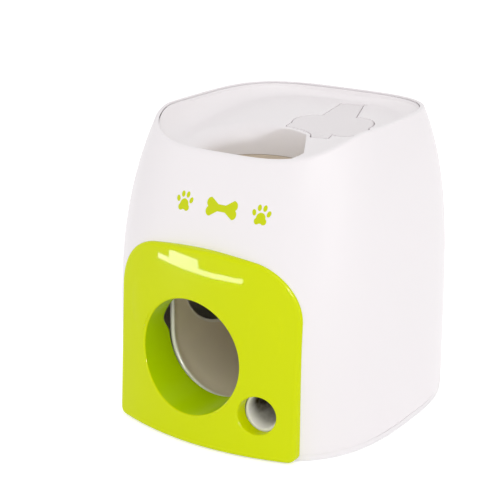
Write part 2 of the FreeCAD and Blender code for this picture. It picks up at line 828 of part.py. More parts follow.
# ------------------------------------------------------------------ paddle assembly
def bushing(x, z, y0, y1, bore, outer, flange_at_low):
    body = along_y(outer, x, z, y0, y1)
    if flange_at_low:
        flange = along_y(outer + 1.4, x, z, y0 - bush_flange, y0)
    else:
        flange = along_y(outer + 1.4, x, z, y1, y1 + bush_flange)
    return body.fuse(flange).removeSplitter().cut(along_y(bore, x, z, y0 - 5, y1 + 5))


def make_shaft_bushings():
    bore = shaft_radius + shaft_running_gap
    front = bushing(shaft_x, shaft_z, front_ear_y[0], front_ear_y[1], bore, bush_radius, False)
    back = bushing(shaft_x, shaft_z, back_ear_y[0], back_ear_y[1], bore, bush_radius, True)
    return Part.makeCompound([front, back])


def turned_y(shape, x, z, degrees):
    shape = shape.copy()
    shape.rotate(V(x, 0, z), Y_AXIS, degrees)
    return shape


def make_trip_paddle():
    y0, y1 = paddle_y
    half = paddle_thickness / 2
    tip = shaft_x - paddle_length
    plate = box(tip + half, shaft_x, y0, y1, shaft_z - half, shaft_z + half)
    nose = along_y(half, tip + half, shaft_z, y0, y1)
    hub = along_y(paddle_hub_radius, shaft_x, shaft_z, y0, y1)
    pieces = [plate, nose, hub]
    for i in range(paddle_ribs):
        y = y0 + paddle_rib_inset + i * (y1 - y0 - 2 * paddle_rib_inset) / (paddle_ribs - 1)
        y = y - paddle_rib_thickness / 2
        rib = Part.makePolygon([V(shaft_x, y, shaft_z), V(shaft_x, y, shaft_z - half - paddle_rib_height),
                                V(tip + paddle_rib_start, y, shaft_z), V(shaft_x, y, shaft_z)])
        pieces.append(Part.Face(rib).extrude(V(0, paddle_rib_thickness, 0)))
    lug_low = shaft_z + spring_leg_top
    lug_high = lug_low + spring_lug_thickness
    lug_x0 = shaft_x - spring_lug_far
    lug_x1 = shaft_x - spring_lug_near
    pieces.append(box(lug_x0, lug_x1, y0, y0 + spring_lug_root, shaft_z, lug_high))
    pieces.append(box(lug_x0, lug_x1, spring_y[1] - 2 * spring_wire, y0 + spring_lug_root, lug_low, lug_high))
    paddle = join(pieces).cut(along_y(shaft_radius + press_gap, shaft_x, shaft_z, y0 - 5, y1 + 5))
    return turned_y(paddle, shaft_x, shaft_z, -paddle_rest_tilt)


def make_paddle_shaft():
    shaft = along_y(shaft_radius, shaft_x, shaft_z, shaft_front_y, shaft_back_y)
    shaft = shaft.makeChamfer(shaft_chamfer, [e for e in shaft.Edges if len(e.Vertexes) == 1])
    for y in clip_places(shaft_front_y, shaft_back_y):
        groove = along_y(shaft_radius + 1, shaft_x, shaft_z, y, y + clip_thickness + 2 * clip_gap)
        shaft = shaft.cut(groove.cut(along_y(shaft_radius - clip_grip, shaft_x, shaft_z, y, y + 2)))
    return shaft


def clip_places(front, back):
    return [front + clip_inset, back - clip_inset - clip_thickness]


def clips(x, z, radius, front, back):
    """E-clips that sit in the grooves near both ends of a shaft."""
    made = []
    for y in clip_places(front, back):
        clip = along_y(radius + clip_width, x, z, y + clip_gap, y + clip_gap + clip_thickness)
        clip = clip.cut(along_y(radius - clip_grip + clip_gap, x, z, y - 1, y + 3))
        mouth = radius - clip_grip - 0.2
        made.append(clip.cut(box(x - mouth, x + mouth, y - 1, y + 3, z - 20, z)))
    return Part.makeCompound(made)


def make_return_spring():
    """Torsion spring round the paddle shaft: the back leg lies under the paddle's lug, the front
    leg under the ear's peg, and pressing the paddle down winds the coil tighter."""
    length = spring_y[1] - spring_y[0]
    pitch = length / spring_turns
    helix = Part.makeHelix(pitch, length, spring_radius)
    start = Part.Wire([Part.makeCircle(spring_wire, V(spring_radius, 0, 0), Y_AXIS)])
    coil = Part.Wire(helix.Edges).makePipeShell([start], True, True)
    front_leg = rod(spring_wire, V(spring_radius, 0.2, 0), V(0, -1, 0), spring_leg)
    back_leg = rod(spring_wire, V(spring_radius, -0.2, length), V(0, 1, 0), spring_leg)
    spring = coil.fuse(front_leg).fuse(back_leg)
    spring.rotate(V(0, 0, 0), X_AXIS, -90)
    spring.rotate(V(0, 0, 0), Y_AXIS, 90)
    spring = spring.mirror(V(0, 0, 0), Z_AXIS)
    spring.rotate(V(0, 0, 0), Y_AXIS, -paddle_rest_tilt)
    spring.translate(V(shaft_x, spring_y[0], shaft_z))
    return spring


# ------------------------------------------------------------------ gears
def involute_point(base_radius, radius):
    roll = math.sqrt(max((radius / base_radius) ** 2 - 1, 0.0))
    return roll - math.atan(roll)


def gear_solid(teeth, tooth_angle, y_range):
    """A spur gear about Y at the origin, with a tooth centred on tooth_angle above +X."""
    pitch_radius = gear_module * teeth / 2
    base_radius = pitch_radius * math.cos(math.radians(pressure_angle))
    tip = pitch_radius + tooth_height * gear_module
    root = pitch_radius - root_depth * gear_module
    half_pitch = math.pi / (2 * teeth) - flank_relief / pitch_radius
    offset = half_pitch + involute_point(base_radius, pitch_radius)
    low = max(base_radius, root)
    radii = [low + (tip - low) * k / 4 for k in range(5)]
    points = []
    for tooth in range(teeth):
        centre = math.radians(tooth_angle) + 2 * math.pi * tooth / teeth
        points.append((root, centre - offset))
        points += [(r, centre - offset + involute_point(base_radius, r)) for r in radii]
        points += [(r, centre + offset - involute_point(base_radius, r)) for r in reversed(radii)]
        points.append((root, centre + offset))
    outline = [V(r * math.cos(a), y_range[0], r * math.sin(a)) for r, a in points]
    clean = [outline[0]]
    for p in outline[1:]:
        if p.distanceToPoint(clean[-1]) > 0.001:
            clean.append(p)
    face = Part.Face(Part.makePolygon(clean + [clean[0]]))
    return face.extrude(V(0, y_range[1] - y_range[0], 0))


def make_gear_sector():
    gear = gear_solid(gear_teeth, gear_line_angle, gear_y)
    reach = gear_module * gear_teeth
    first = math.radians(gear_line_angle - sector_back)
    last = math.radians(gear_line_angle + sector_ahead)
    middle = (first + last) / 2
    corners = [(0, 0), (reach * math.cos(first), reach * math.sin(first)),
               (1.5 * reach * math.cos(middle), 1.5 * reach * math.sin(middle)),
               (reach * math.cos(last), reach * math.sin(last)), (0, 0)]
    wedge = Part.Face(Part.makePolygon([V(x, gear_y[0] - 1, z) for x, z in corners]))
    sector = gear.common(wedge.extrude(V(0, gear_y[1] - gear_y[0] + 2, 0)))
    hub = along_y(sector_hub_radius, 0, 0, back_ear_y[1] + sector_hub_start, gear_y[1])
    sector = join([sector, hub])
    for share in (0.25, 0.5, 0.75):
        angle = first + (last - first) * share
        hole = along_y(sector_hole_radius, sector_hole_reach * math.cos(angle),
                       sector_hole_reach * math.sin(angle), gear_y[0] - 1, gear_y[1] + 1)
        sector = sector.cut(hole)
    sector = sector.cut(along_y(shaft_radius + press_gap, 0, 0, 0, 60))
    sector.translate(V(shaft_x, 0, shaft_z))
    return sector


def make_drum_pinion():
    gap_angle = gear_line_angle + 180 + 180 / pinion_teeth
    pinion = gear_solid(pinion_teeth, gap_angle, gear_y)
    hub = along_y(pinion_hub_radius, 0, 0, housing_y[1] + pinion_hub_start, gear_y[0] + 1)
    pinion = join([pinion, hub]).cut(along_y(axle_radius + press_gap, 0, 0, 0, 60))
    pinion.translate(V(drum_x, 0, drum_z))
    return pinion


# ------------------------------------------------------------------ portion drum, housing, hopper
def make_portion_drum():
    drum = along_y(drum_radius, drum_x, drum_z, drum_y[0], drum_y[1])
    pocket = along_y(pocket_radius, drum_x, drum_z + pocket_offset, drum_y[0] + drum_end_wall,
                     drum_y[1] - drum_end_wall)
    throat = box(drum_x - pocket_radius, drum_x + pocket_radius, drum_y[0] + drum_end_wall,
                 drum_y[1] - drum_end_wall, drum_z + pocket_offset, drum_z + 30)
    drum = drum.cut(pocket).cut(throat)
    for angle in drum_core_angles:
        a = math.radians(angle)
        x = drum_x + drum_core_reach * math.cos(a)
        z = drum_z + drum_core_reach * math.sin(a)
        drum = drum.cut(along_y(drum_core_radius, x, z, drum_y[0] + drum_end_wall, drum_y[1] + 1))
    return drum.cut(along_y(axle_radius + press_gap, drum_x, drum_z, 0, 60))


def make_drum_axle():
    axle = along_y(axle_radius, drum_x, drum_z, axle_y[0], axle_y[1])
    axle = axle.makeChamfer(shaft_chamfer, [e for e in axle.Edges if len(e.Vertexes) == 1])
    for y in clip_places(axle_y[0], axle_y[1]):
        groove = along_y(axle_radius + 1, drum_x, drum_z, y, y + clip_thickness + 2 * clip_gap)
        axle = axle.cut(groove.cut(along_y(axle_radius - clip_grip, drum_x, drum_z, y, y + 2)))
    return axle


def axle_bush_radius():
    return axle_radius + shaft_running_gap + bush_wall


def make_axle_bushings():
    bore = axle_radius + shaft_running_gap
    front = bushing(drum_x, drum_z, housing_y[0] - housing_boss_length, housing_y[0] + housing_wall, bore,
                    axle_bush_radius(), True)
    back = bushing(drum_x, drum_z, housing_y[1], housing_y[1] + cap_thickness + cap_boss_length, bore,
                   axle_bush_radius(), False)
    return Part.makeCompound([front, back])


def housing_screw_places():
    x_reach = neck_half_x + neck_wall + screw_head_radius + screw_clearance
    return [(drum_x + sx * x_reach, y) for sx in (-1, 1) for y in (housing_y[0] + 4, housing_y[1] - 4)]


def cap_screw_places():
    reach = drum_radius + drum_gap + housing_wall + cap_screw_reach
    return [(drum_x + reach * math.cos(math.radians(a)), drum_z + reach * math.sin(math.radians(a)))
            for a in cap_screw_angles]


def flange_box(z0, z1):
    reach = neck_half_x + neck_wall + flange_margin
    return box(drum_x - reach, drum_x + reach, housing_y[0] - 1, housing_y[1], z0, z1)


def neck_space(z0, z1):
    return box(drum_x - neck_half_x, drum_x + neck_half_x, neck_y[0], neck_y[1], z0, z1)


def make_drum_housing():
    bore_radius = drum_radius + drum_gap
    outer_radius = bore_radius + housing_wall
    y0, y1 = housing_y
    pieces = [along_y(outer_radius, drum_x, drum_z, y0, y1)]
    pieces.append(along_y(housing_boss_radius, drum_x, drum_z, y0 - housing_boss_length, y0))
    pieces.append(box(drum_x - neck_half_x - neck_wall, drum_x + neck_half_x + neck_wall, y0, y1,
                      drum_z + 8, neck_top))
    pieces.append(flange_box(neck_top - flange_thickness, neck_top))
    pieces.append(upright(spout_radius + spout_wall, drum_x, drum_mid_y, spout_bottom, drum_z - 8))
    for x, z in cap_screw_places():
        pieces.append(along_y(cap_ear_radius, x, z, y1 - cap_screw_depth, y1))
    housing = join(pieces)
    cutters = [along_y(bore_radius, drum_x, drum_z, y0 + housing_wall, y1 + 1)]
    cutters.append(neck_space(drum_z, neck_top + 1))
    cutters.append(upright(spout_radius, drum_x, drum_mid_y, spout_bottom - 1, drum_z))
    cutters.append(along_y(axle_bush_radius() + press_gap, drum_x, drum_z, -10, y1))
    for x, z in cap_screw_places():
        cutters.append(along_y(screw_radius + thread_gap, x, z, y1 - cap_screw_length + 1, y1 + 1))
    for x, y in housing_screw_places():
        cutters.append(upright(screw_radius + screw_clearance, x, y, neck_top - 6, neck_top + 1))
    return carve(housing, cutters)


def make_housing_cap():
    y0 = housing_y[1]
    outer_radius = drum_radius + drum_gap + housing_wall
    pieces = [along_y(outer_radius, drum_x, drum_z, y0, y0 + cap_thickness)]
    pieces.append(along_y(housing_boss_radius, drum_x, drum_z, y0 + cap_thickness,
                          y0 + cap_thickness + cap_boss_length))
    for x, z in cap_screw_places():
        pieces.append(along_y(cap_ear_radius, x, z, y0, y0 + cap_thickness))
    cutters = [along_y(axle_bush_radius() + press_gap, drum_x, drum_z, y0 - 1, y0 + 6)]
    for x, z in cap_screw_places():
        cutters.append(along_y(screw_radius + screw_clearance, x, z, y0 - 1, y0 + 6))
    return carve(join(pieces), cutters)


def make_drum_wiper():
    """Soft strip hung in the neck just above the drum, so kibble doesn't jam under the wall."""
    x1 = drum_x + neck_half_x - wiper_gap
    sweep = drum_radius + drum_gap + wiper_drum_gap
    bottom = drum_z + math.sqrt(sweep ** 2 - (neck_half_x - wiper_thickness) ** 2)
    return box(x1 - wiper_thickness, x1, neck_y[0] + 0.3, neck_y[1] - 0.3, bottom, neck_top - wiper_gap)


def quad(points):
    return Part.makePolygon(points + [points[0]])


def hopper_loft(grow, run_on):
    """Square funnel from the lid's mouth plane down to the drum housing's neck."""
    frame = lid_frame()
    mx = mouth_half_x + grow
    my = mouth_half_y + grow
    top = [frame.multVec(V(x, y, -pad_depth)) for x, y in ((-mx, -my), (mx, -my), (mx, my), (-mx, my))]
    y0 = neck_y[0] - grow
    y1 = neck_y[1] + grow
    x0 = drum_x - neck_half_x - grow
    x1 = drum_x + neck_half_x + grow
    bottom = [V(x0, y0, neck_top), V(x1, y0, neck_top), V(x1, y1, neck_top), V(x0, y1, neck_top)]
    funnel = Part.makeLoft([quad(top), quad(bottom)], True, True)
    if run_on:
        inlet = placed(box(-mx, mx, -my, my, -pad_depth - 0.01, 0), frame)
        outlet = box(x0, x1, y0, y1, neck_top - 5, neck_top + 0.01)
        funnel = join([funnel, inlet, outlet])
    return funnel


def make_treat_hopper():
    frame = lid_frame()
    reach = mouth_half_x + hopper_screw_reach + 3.4
    rim = box(-reach, reach, -mouth_half_y - 5.4, mouth_half_y + 5.4, -pad_depth - flange_thickness,
              -pad_depth)
    rim = placed(rim, frame)
    keep_clear = upright(well_radius + 2 * well_wall + seat_gap + 0.6, well_x, well_y, 0, FAR)
    hopper = join([hopper_loft(hopper_wall, False), rim, flange_box(neck_top, neck_top + flange_thickness)])
    cutters = [hopper_loft(0.0, True), keep_clear]
    for x, y in hopper_screw_places():
        hole = upright(screw_radius + screw_clearance, x, y, -pad_depth - 10, -pad_depth + 1)
        cutters.append(placed(hole, frame))
    for x, y in housing_screw_places():
        cutters.append(upright(screw_radius + thread_gap, x, y, neck_top - 1,
                               neck_top + flange_thickness + 1))
    return carve(hopper, cutters)


# ------------------------------------------------------------------ treat chute
def chute_ends():
    top = V(drum_x, drum_mid_y, chute_elbow_z)
    low = V(treat_hole_x, treat_collar_end_y, treat_hole_z)
    return top, low


def chute_point(y):
    top, low = chute_ends()
    share = (top.y - y) / (top.y - low.y)
    return top.x + (low.x - top.x) * share, top.z + (low.z - top.z) * share


def chute_form(radius, cup_radius, end):
    top, low = chute_ends()
    direction = (low - top).normalize()
    pieces = [rod(radius, top, direction, (low - top).Length + end), Part.makeSphere(radius, top)]
    pieces.append(upright(radius, top.x, top.y, top.z, chute_cup_bottom))
    cone_height = chute_cup_top - chute_cup_bottom
    cone = Part.makeCone(radius, cup_radius, cone_height, V(top.x, top.y, chute_cup_bottom), Z_AXIS)
    pieces.append(cone)
    return join(pieces)


def make_treat_chute(inside):
    x_low, z_low = chute_point(chute_leg_y)
    outer = chute_form(chute_radius + chute_wall, chute_cup_radius + chute_wall, 14.0)
    foot_top = base_top + leg_foot_height
    pieces = [outer]
    for x, y, half_x, half_y, top in (
            (x_low, chute_leg_y, chute_foot_half, chute_foot_depth, foot_top),
            (x_low, chute_leg_y, chute_leg_half, chute_post_half, z_low),
            (drum_x, drum_mid_y, chute_foot_half, chute_foot_depth, foot_top),
            (drum_x, drum_mid_y, chute_post_half, chute_back_post_depth, chute_elbow_z)):
        pieces.append(box(x - half_x, x + half_x, y - half_y, y + half_y, base_top, top))
    end_y = treat_collar_end_y + chute_end_gap
    cutters = [chute_form(chute_radius, chute_cup_radius, 30.0), box(-FAR, FAR, -FAR, end_y, -FAR, FAR)]
    for x, y in chute_fixings():
        cutters.append(upright(screw_radius + thread_gap, x, y, base_top - 1, foot_top + 1))
    return carve(join(pieces), cutters).common(inside)


# ------------------------------------------------------------------ screws
def upward_screws(places, seat_z, length):
    return Part.makeCompound([screw(V(x, y, seat_z), Z_AXIS, length) for x, y in places])


def make_bezel_screws():
    made = []
    for x, z in bezel_screw_places():
        seat_y = front_wall_y(x, z, -shell_wall) + bezel_screw_stand
        made.append(screw(V(x, seat_y, z), V(0, -1, 0), seat_y - bezel_front_y(x, z) - 1.8))
    return Part.makeCompound(made)


def make_hopper_screws():
    made = []
    for x, y in hopper_screw_places():
        seat = V(x, y, -pad_depth - flange_thickness)
        made.append(placed(screw(seat, Z_AXIS, flange_thickness + hopper_screw_bite), lid_frame()))
    return Part.makeCompound(made)


def make_housing_screws():
    return upward_screws(housing_screw_places(), neck_top - flange_thickness, 2 * flange_thickness + 0.6)


def make_cap_screws():
    seat_y = housing_y[1] + cap_thickness
    return Part.makeCompound([screw(V(x, seat_y, z), V(0, -1, 0), cap_screw_length)
                              for x, z in cap_screw_places()])


# ------------------------------------------------------------------ build
def main():
    os.makedirs("parts", exist_ok=True)
    outer = body_solid(0.0)
    inner = body_solid(-shell_wall)
    middle = body_solid(-shell_wall / 2)
    seat = body_solid(seat_gap)
    head_seat = foot_drop + screw_head_height + screw_head_gap
    save("outer_shell", make_outer_shell(outer, inner, middle))
    save("front_bezel", make_front_bezel(seat))
    save("base_plate", make_base_plate())
    save("rubber_feet", make_rubber_feet())
    inside = body_solid(-shell_wall - tray_gap)
    save("top_tray", make_top_tray(inside))
    save("treat_lid", make_treat_lid())
    save("lid_hinge_pin", make_lid_pin())
    save("drop_tube", make_drop_tube())
    save("ball_scoop", make_ball_scoop())
    save("trip_paddle", make_trip_paddle())
    save("paddle_shaft", make_paddle_shaft())
    save("shaft_bushings", make_shaft_bushings())
    save("shaft_clips", clips(shaft_x, shaft_z, shaft_radius, shaft_front_y, shaft_back_y))
    save("return_spring", make_return_spring())
    save("gear_sector", make_gear_sector())
    save("drum_pinion", make_drum_pinion())
    save("portion_drum", make_portion_drum())
    save("drum_axle", make_drum_axle())
    save("axle_bushings", make_axle_bushings())
    save("axle_clips", clips(drum_x, drum_z, axle_radius, axle_y[0], axle_y[1]))
    save("drum_housing", make_drum_housing())
    save("housing_cap", make_housing_cap())
    save("drum_wiper", make_drum_wiper())
    save("treat_hopper", make_treat_hopper())
    save("treat_chute", make_treat_chute(inside))
    save("base_screws", upward_screws(base_screw_places(), head_seat, base_screw_bite))
    save("scoop_screws", upward_screws(base_fixings(), head_seat, base_top + leg_foot_height - head_seat))
    save("chute_screws", upward_screws(chute_fixings(), head_seat, base_top + leg_foot_height - head_seat))
    save("tray_screws", upward_screws(tray_boss_places(), tray_lug_top - tray_lug_thickness,
                                      tray_lug_thickness + tray_screw_bite))
    save("bezel_screws", make_bezel_screws())
    save("hopper_screws", make_hopper_screws())
    save("housing_screws", make_housing_screws())
    save("cap_screws", make_cap_screws())


main()
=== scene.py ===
import json
import math

import bmesh
import bpy
import numpy as np
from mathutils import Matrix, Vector
from mathutils.geometry import delaunay_2d_cdt


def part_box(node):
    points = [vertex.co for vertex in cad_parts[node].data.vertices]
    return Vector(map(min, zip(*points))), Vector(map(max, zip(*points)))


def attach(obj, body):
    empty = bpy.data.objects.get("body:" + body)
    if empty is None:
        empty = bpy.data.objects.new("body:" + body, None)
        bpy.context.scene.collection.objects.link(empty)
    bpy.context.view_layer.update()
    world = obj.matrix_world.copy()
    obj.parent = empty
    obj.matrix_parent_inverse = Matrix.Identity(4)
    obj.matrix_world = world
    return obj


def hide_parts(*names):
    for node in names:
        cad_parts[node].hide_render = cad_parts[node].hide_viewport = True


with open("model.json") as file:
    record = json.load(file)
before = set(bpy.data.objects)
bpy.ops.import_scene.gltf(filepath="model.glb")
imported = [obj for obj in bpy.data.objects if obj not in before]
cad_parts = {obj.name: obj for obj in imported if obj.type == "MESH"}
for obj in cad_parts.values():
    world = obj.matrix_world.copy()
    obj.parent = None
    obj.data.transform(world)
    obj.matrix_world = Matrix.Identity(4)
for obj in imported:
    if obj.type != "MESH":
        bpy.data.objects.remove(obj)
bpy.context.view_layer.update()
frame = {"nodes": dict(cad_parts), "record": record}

scene = bpy.context.scene
MM = 0.001
base_low, base_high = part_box("base_plate")
MIDDLE_Y = (base_low.y + base_high.y) / 2 / MM
ON_EDGE = 0.002

# ---------- sizes: mostly the part's own, with the casing's form and the edges refined
BASE_HALF = (98.38, 105.38)
RIM_HALF = (77.9, 77.8)
CORNER_POWER = (2.9, 3.5)
RIM_SHIFT_Y = 4.3
WAIST = 1.84
LEAN_POWER = 4.08
RIM_LOW = 174.6
RIM_HIGH = 201.0
RIM_STEP_Y = -67.45
RIM_STEP_LENGTH = 80.5
SHELL_WALL = 2.6
SHELL_BOTTOM = 4.62

BEZEL_HALF_WIDTH = 69.5
BEZEL_BOTTOM = 1.0
BEZEL_SHOULDER = 121.5
BEZEL_ARCH = 8.4
BEZEL_TOP_RADIUS = 36.0
BEZEL_BOTTOM_RADIUS = 5.0
BEZEL_PROUD = 4.64
BEZEL_LEAN = 0.0689
BEZEL_PLAN_RADIUS = 183.0
SEAT_GAP = 0.15
BALL_HOLE = (-6.0, 58.6)
BALL_HOLE_RADIUS = 38.0
TUNNEL_END_Y = -75.2
TUNNEL_RUN = (0.06, 0.05)
TUNNEL_WALL = 2.2
TUNNEL_MITRE = 8.0
TUNNEL_MITRE_Z = 56.0
TUNNEL_MITRE_RISE = 16.0
TREAT_HOLE = (44.6, 29.9)
TREAT_HOLE_RADIUS = 12.4
COLLAR_WALL = 1.8
COLLAR_END_Y = -95.6
HOLE_GAP = 0.4

TRAY_GAP = 0.35
TRAY_DROP = 0.8
TRAY_SKIN = 1.2
DISH_POWER = 2.7
FLOOR_Z = 185.0
FLOOR_SLOPE = 0.108
FLOOR_HALF = (62.5, 66.4)
FLOOR_Y = 8.3
FLOOR_POWER = 2.8
WELL = (-5.8, -30.4)
WELL_RADIUS = 37.6
WELL_FLAT_REACH = 33.2
WELL_FLAT_TURN = math.radians(29.3)
WELL_COLLAR_BOTTOM = 166.0
WELL_TIGHT = 1.1
WELL_BROAD = 14.0
WELL_SOFTNESS = 0.8
WELL_BLEND_START = 88.0
WELL_BLEND_RISE = 42.0
WELL_BLEND_END = 258.0
WELL_BLEND_FALL = 50.0

LID_MIDDLE = (18.95, 23.9)
LID_TURN = math.radians(11.6)
LID_TILT = math.atan(FLOOR_SLOPE)
LID_THICKNESS = 2.4
LID_GAP = 0.4
LID_TRIM = 0.36
LID_EDGE = 0.35
LID_STEPS = 2880
LOBE = (14.5, 5.6)
LOBE_RADIUS = 14.0
LID_WAIST_HALF = 15.5
TAB_ROOT = (13.4, 10.0)
TAB_END = (8.6, 46.2)
FRONT_TAB = (8.0, -25.6)
LID_WELL_MARGIN = 3.0
MOUTH_HALF = (21.0, 12.6)
KNUCKLE_RADIUS = 2.2
PIN_RADIUS = 1.1
PIN_GAP = 0.06
PAD_DEPTH = 6.0

SCOOP_X = -4.2
SCOOP_RADIUS = 40.0
SCOOP_QUARTER = SCOOP_RADIUS * math.pi / 2
SCOOP_WALL = 2.4
SCOOP_CLEAR = 0.12
SCOOP_BEAD = 1.9
SCOOP_NOSE = 0.9
SCOOP_PINCH = 3.2
SCOOP_NOSE_REACH = 9.0
SCOOP_MOUTH_Y = -74.1
SCOOP_FRONT = (-73.6, 60.2)
SCOOP_SLOPE = math.radians(4.0)
SCOOP_COS, SCOOP_SIN = math.cos(SCOOP_SLOPE), math.sin(SCOOP_SLOPE)
SCOOP_LENGTH = 101.5
SCOOP_TOP = 98.0
SADDLE = (-15.0, 90.0)
SADDLE_RADIUS = 40.0
BASE_TOP = 4.5
LEG_YS = (-68.0, 12.0)
LEG_THICKNESS = 4.0
LEG_HALF_WIDTH = 32.0
LEG_FOOT = (40.0, 12.0, 3.0)
SHAFT = (44.0, 96.0)
EAR_RADIUS = 7.6
EAR_BORE = 4.03
EARS = ((-66.0, -60.0), (23.6, 33.4))
EAR_DROP = 24.0

TUBE_WALL = 2.0
TUBE_BEAD = 1.2
TUBE_BOTTOM = 100.0
TUBE_TOP = 172.0
SOCKET_BOTTOM = 160.0
SOCKET_GAP = 0.15

CHUTE_TOP = (68.5, 20.6, 80.0)
CHUTE_RADIUS = 11.5
CHUTE_BORE = 10.6
CHUTE_WALL = 1.6
CHUTE_END_Y = COLLAR_END_Y + 0.4
CHUTE_LIP = 1.1
CUP_RADIUS = 15.4
CUP_LOW = 84.0
CUP_HIGH = 92.0
POST_Y = -38.0

PRINT_MIDDLE = (8.5, 155.0)
PRINT_PITCH = 28.5
PRINT_THICKNESS = 0.12
PRINT_GAP = 0.004
PRINT_EDGE = 0.06


# ---------- mesh helpers
def to_frame(points):
    """Casing millimetres to metres in the shared frame."""
    return (np.asarray(points, float) + [0.0, MIDDLE_Y, 0.0]) * MM


def polygon_middles(obj):
    """Middles of an object's polygons, in casing millimetres."""
    return np.array([p.center for p in obj.data.polygons]) / MM - [0.0, MIDDLE_Y, 0.0]


class Shape:
    """Points and faces gathered for one piece, in casing millimetres."""

    def __init__(self):
        self.points = []
        self.faces = []

    def add(self, points, faces):
        start = len(self.points)
        self.points.extend([tuple(p) for p in points])
        self.faces.extend([tuple(start + i for i in f) for f in faces])

    def add_rows(self, rows, close_rows=False, capped=False):
        """Quads between rows of equally many points, each row a closed loop.

        The last row can join the first, or the first and the last can be capped."""
        count, last = len(rows[0]), len(rows) - 1
        faces = []
        for i in range(last + 1 if close_rows else last):
            a, b = i * count, (i + 1) % len(rows) * count
            faces += [(a + j, a + (j + 1) % count, b + (j + 1) % count, b + j) for j in range(count)]
        if capped:
            faces += [tuple(range(count)), tuple(range(last * count, last * count + count))]
        self.add(np.concatenate(rows), faces)


def plain_mesh(name, points, faces):
    mesh = bpy.data.meshes.new(name)
    mesh.from_pydata(np.asarray(points, float).tolist(), [], faces)
    return mesh


def place(name, data):
    obj = bpy.data.objects.new(name, data)
    scene.collection.objects.link(obj)
    return obj


def new_object(name, shape, merge=0.004):
    """The shape as an object: points nearer than merge joined, faces turned outward."""
    mesh = plain_mesh(name, to_frame(shape.points), shape.faces)
    bm = bmesh.new()
    bm.from_mesh(mesh)
    bmesh.ops.remove_doubles(bm, verts=bm.verts, dist=merge * MM)
    bmesh.ops.recalc_face_normals(bm, faces=bm.faces)
    bm.to_mesh(mesh)
    bm.free()
    return place(name, mesh)


def finish_piece(obj, body, slot, material, *nodes, angle):
    for polygon in obj.data.polygons:
        polygon.use_smooth = True
    obj.data.set_sharp_from_angle(angle=math.radians(angle))
    obj.data.materials.clear()
    obj.data.materials.append(material)
    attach(obj, body)
    if nodes:
        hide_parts(*nodes)
    return obj


def second_material(obj, material, which):
    """Gives the polygons marked in which a second material."""
    obj.data.materials.append(material)
    obj.data.polygons.foreach_set("material_index", np.asarray(which, int))


def apply_modifiers(obj):
    graph = bpy.context.evaluated_depsgraph_get()
    made = bpy.data.meshes.new_from_object(obj.evaluated_get(graph), depsgraph=graph)
    obj.modifiers.clear()
    obj.data = made


def boolean(obj, cutters, operation):
    """Applies exact booleans and drops the cutters."""
    for cutter in cutters:
        mod = obj.modifiers.new("cut", "BOOLEAN")
        mod.object = cutter
        mod.operation = operation
        mod.solver = "EXACT"
    apply_modifiers(obj)
    for cutter in cutters:
        bpy.data.objects.remove(cutter)


def rows_object(name, rows, close_rows=False):
    """A solid between loops of points: the last joins the first, or both ends are capped."""
    shape = Shape()
    shape.add_rows(rows, close_rows, capped=not close_rows)
    return new_object(name, shape)


def turn(count):
    return np.linspace(0.0, 2 * math.pi, count, endpoint=False)


def directions(angle):
    return np.stack([np.cos(angle), np.sin(angle)], 1)


def quarter_round(radius, count):
    """Steps round a rounded edge: how far below its top and how far in from its side each lies."""
    angles = np.linspace(0, math.pi / 2, count)
    return [(radius * (1 - math.sin(k)), radius * (1 - math.cos(k))) for k in angles]


def edge_insets(radius, count):
    return [inward for _, inward in quarter_round(radius, count)[1:]]


def upright(p, y):
    """Points of a front outline, given as x and z, stood at the depths y."""
    return np.stack([p[:, 0], y, p[:, 1]], 1)


def level_ring(middle, radius, z, count):
    return np.column_stack([np.array(middle) + radius * directions(turn(count)), np.full(count, z)])


def cylinder(name, radius, start, direction, length, count=96):
    side = Vector(direction).normalized()
    first = side.cross(Vector((0, 0, 1))) if abs(side.z) < 0.9 else Vector((1, 0, 0))
    first = np.array(first.normalized())
    side = np.array(side)
    second = np.cross(side, first)
    a = turn(count)[:, None]
    ring = np.array(start) + radius * (np.cos(a) * first + np.sin(a) * second)
    return rows_object(name, [ring, ring + side * length])


def block(name, low, high):
    corners = [(x, y, z) for x in (low[0], high[0]) for y in (low[1], high[1]) for z in (low[2], high[2])]
    shape = Shape()
    shape.add(corners, [(0, 1, 3, 2), (4, 6, 7, 5), (0, 4, 5, 1), (2, 3, 7, 6), (0, 2, 6, 4), (1, 5, 7, 3)])
    return new_object(name, shape)


# ---------- the casing's form
def smoothstep(t):
    t = np.clip(t, 0.0, 1.0)
    return t * t * (3 - 2 * t)


def rounding(distance, radius):
    """How far a quarter-round edge of that radius has dropped, by the distance from the edge."""
    d = np.where(distance < ON_EDGE, 0.0, np.minimum(distance, radius))
    return radius - np.sqrt(np.maximum(radius ** 2 - (radius - d) ** 2, 0))


def rim_height(y):
    return RIM_LOW + (RIM_HIGH - RIM_LOW) * smoothstep((y - RIM_STEP_Y) / RIM_STEP_LENGTH + 0.5)


def oval(half_x, half_y, power, angle):
    across = np.abs(np.cos(angle)) / half_x
    deep = np.abs(np.sin(angle)) / half_y
    radius = (across ** power + deep ** power) ** (-1 / power)
    return radius * np.cos(angle), radius * np.sin(angle)


def section_sizes(u, inset):
    """Half width, half depth, corner power and shift in y of the casing's section at height share u."""
    lean = u ** LEAN_POWER
    draw_in = WAIST * 4 * u * (1 - u) + inset
    half_x, half_y = (b + (r - b) * lean - draw_in for b, r in zip(BASE_HALF, RIM_HALF))
    power = CORNER_POWER[0] + (CORNER_POWER[1] - CORNER_POWER[0]) * np.minimum(u, 1.0)
    return half_x, half_y, power, RIM_SHIFT_Y * lean


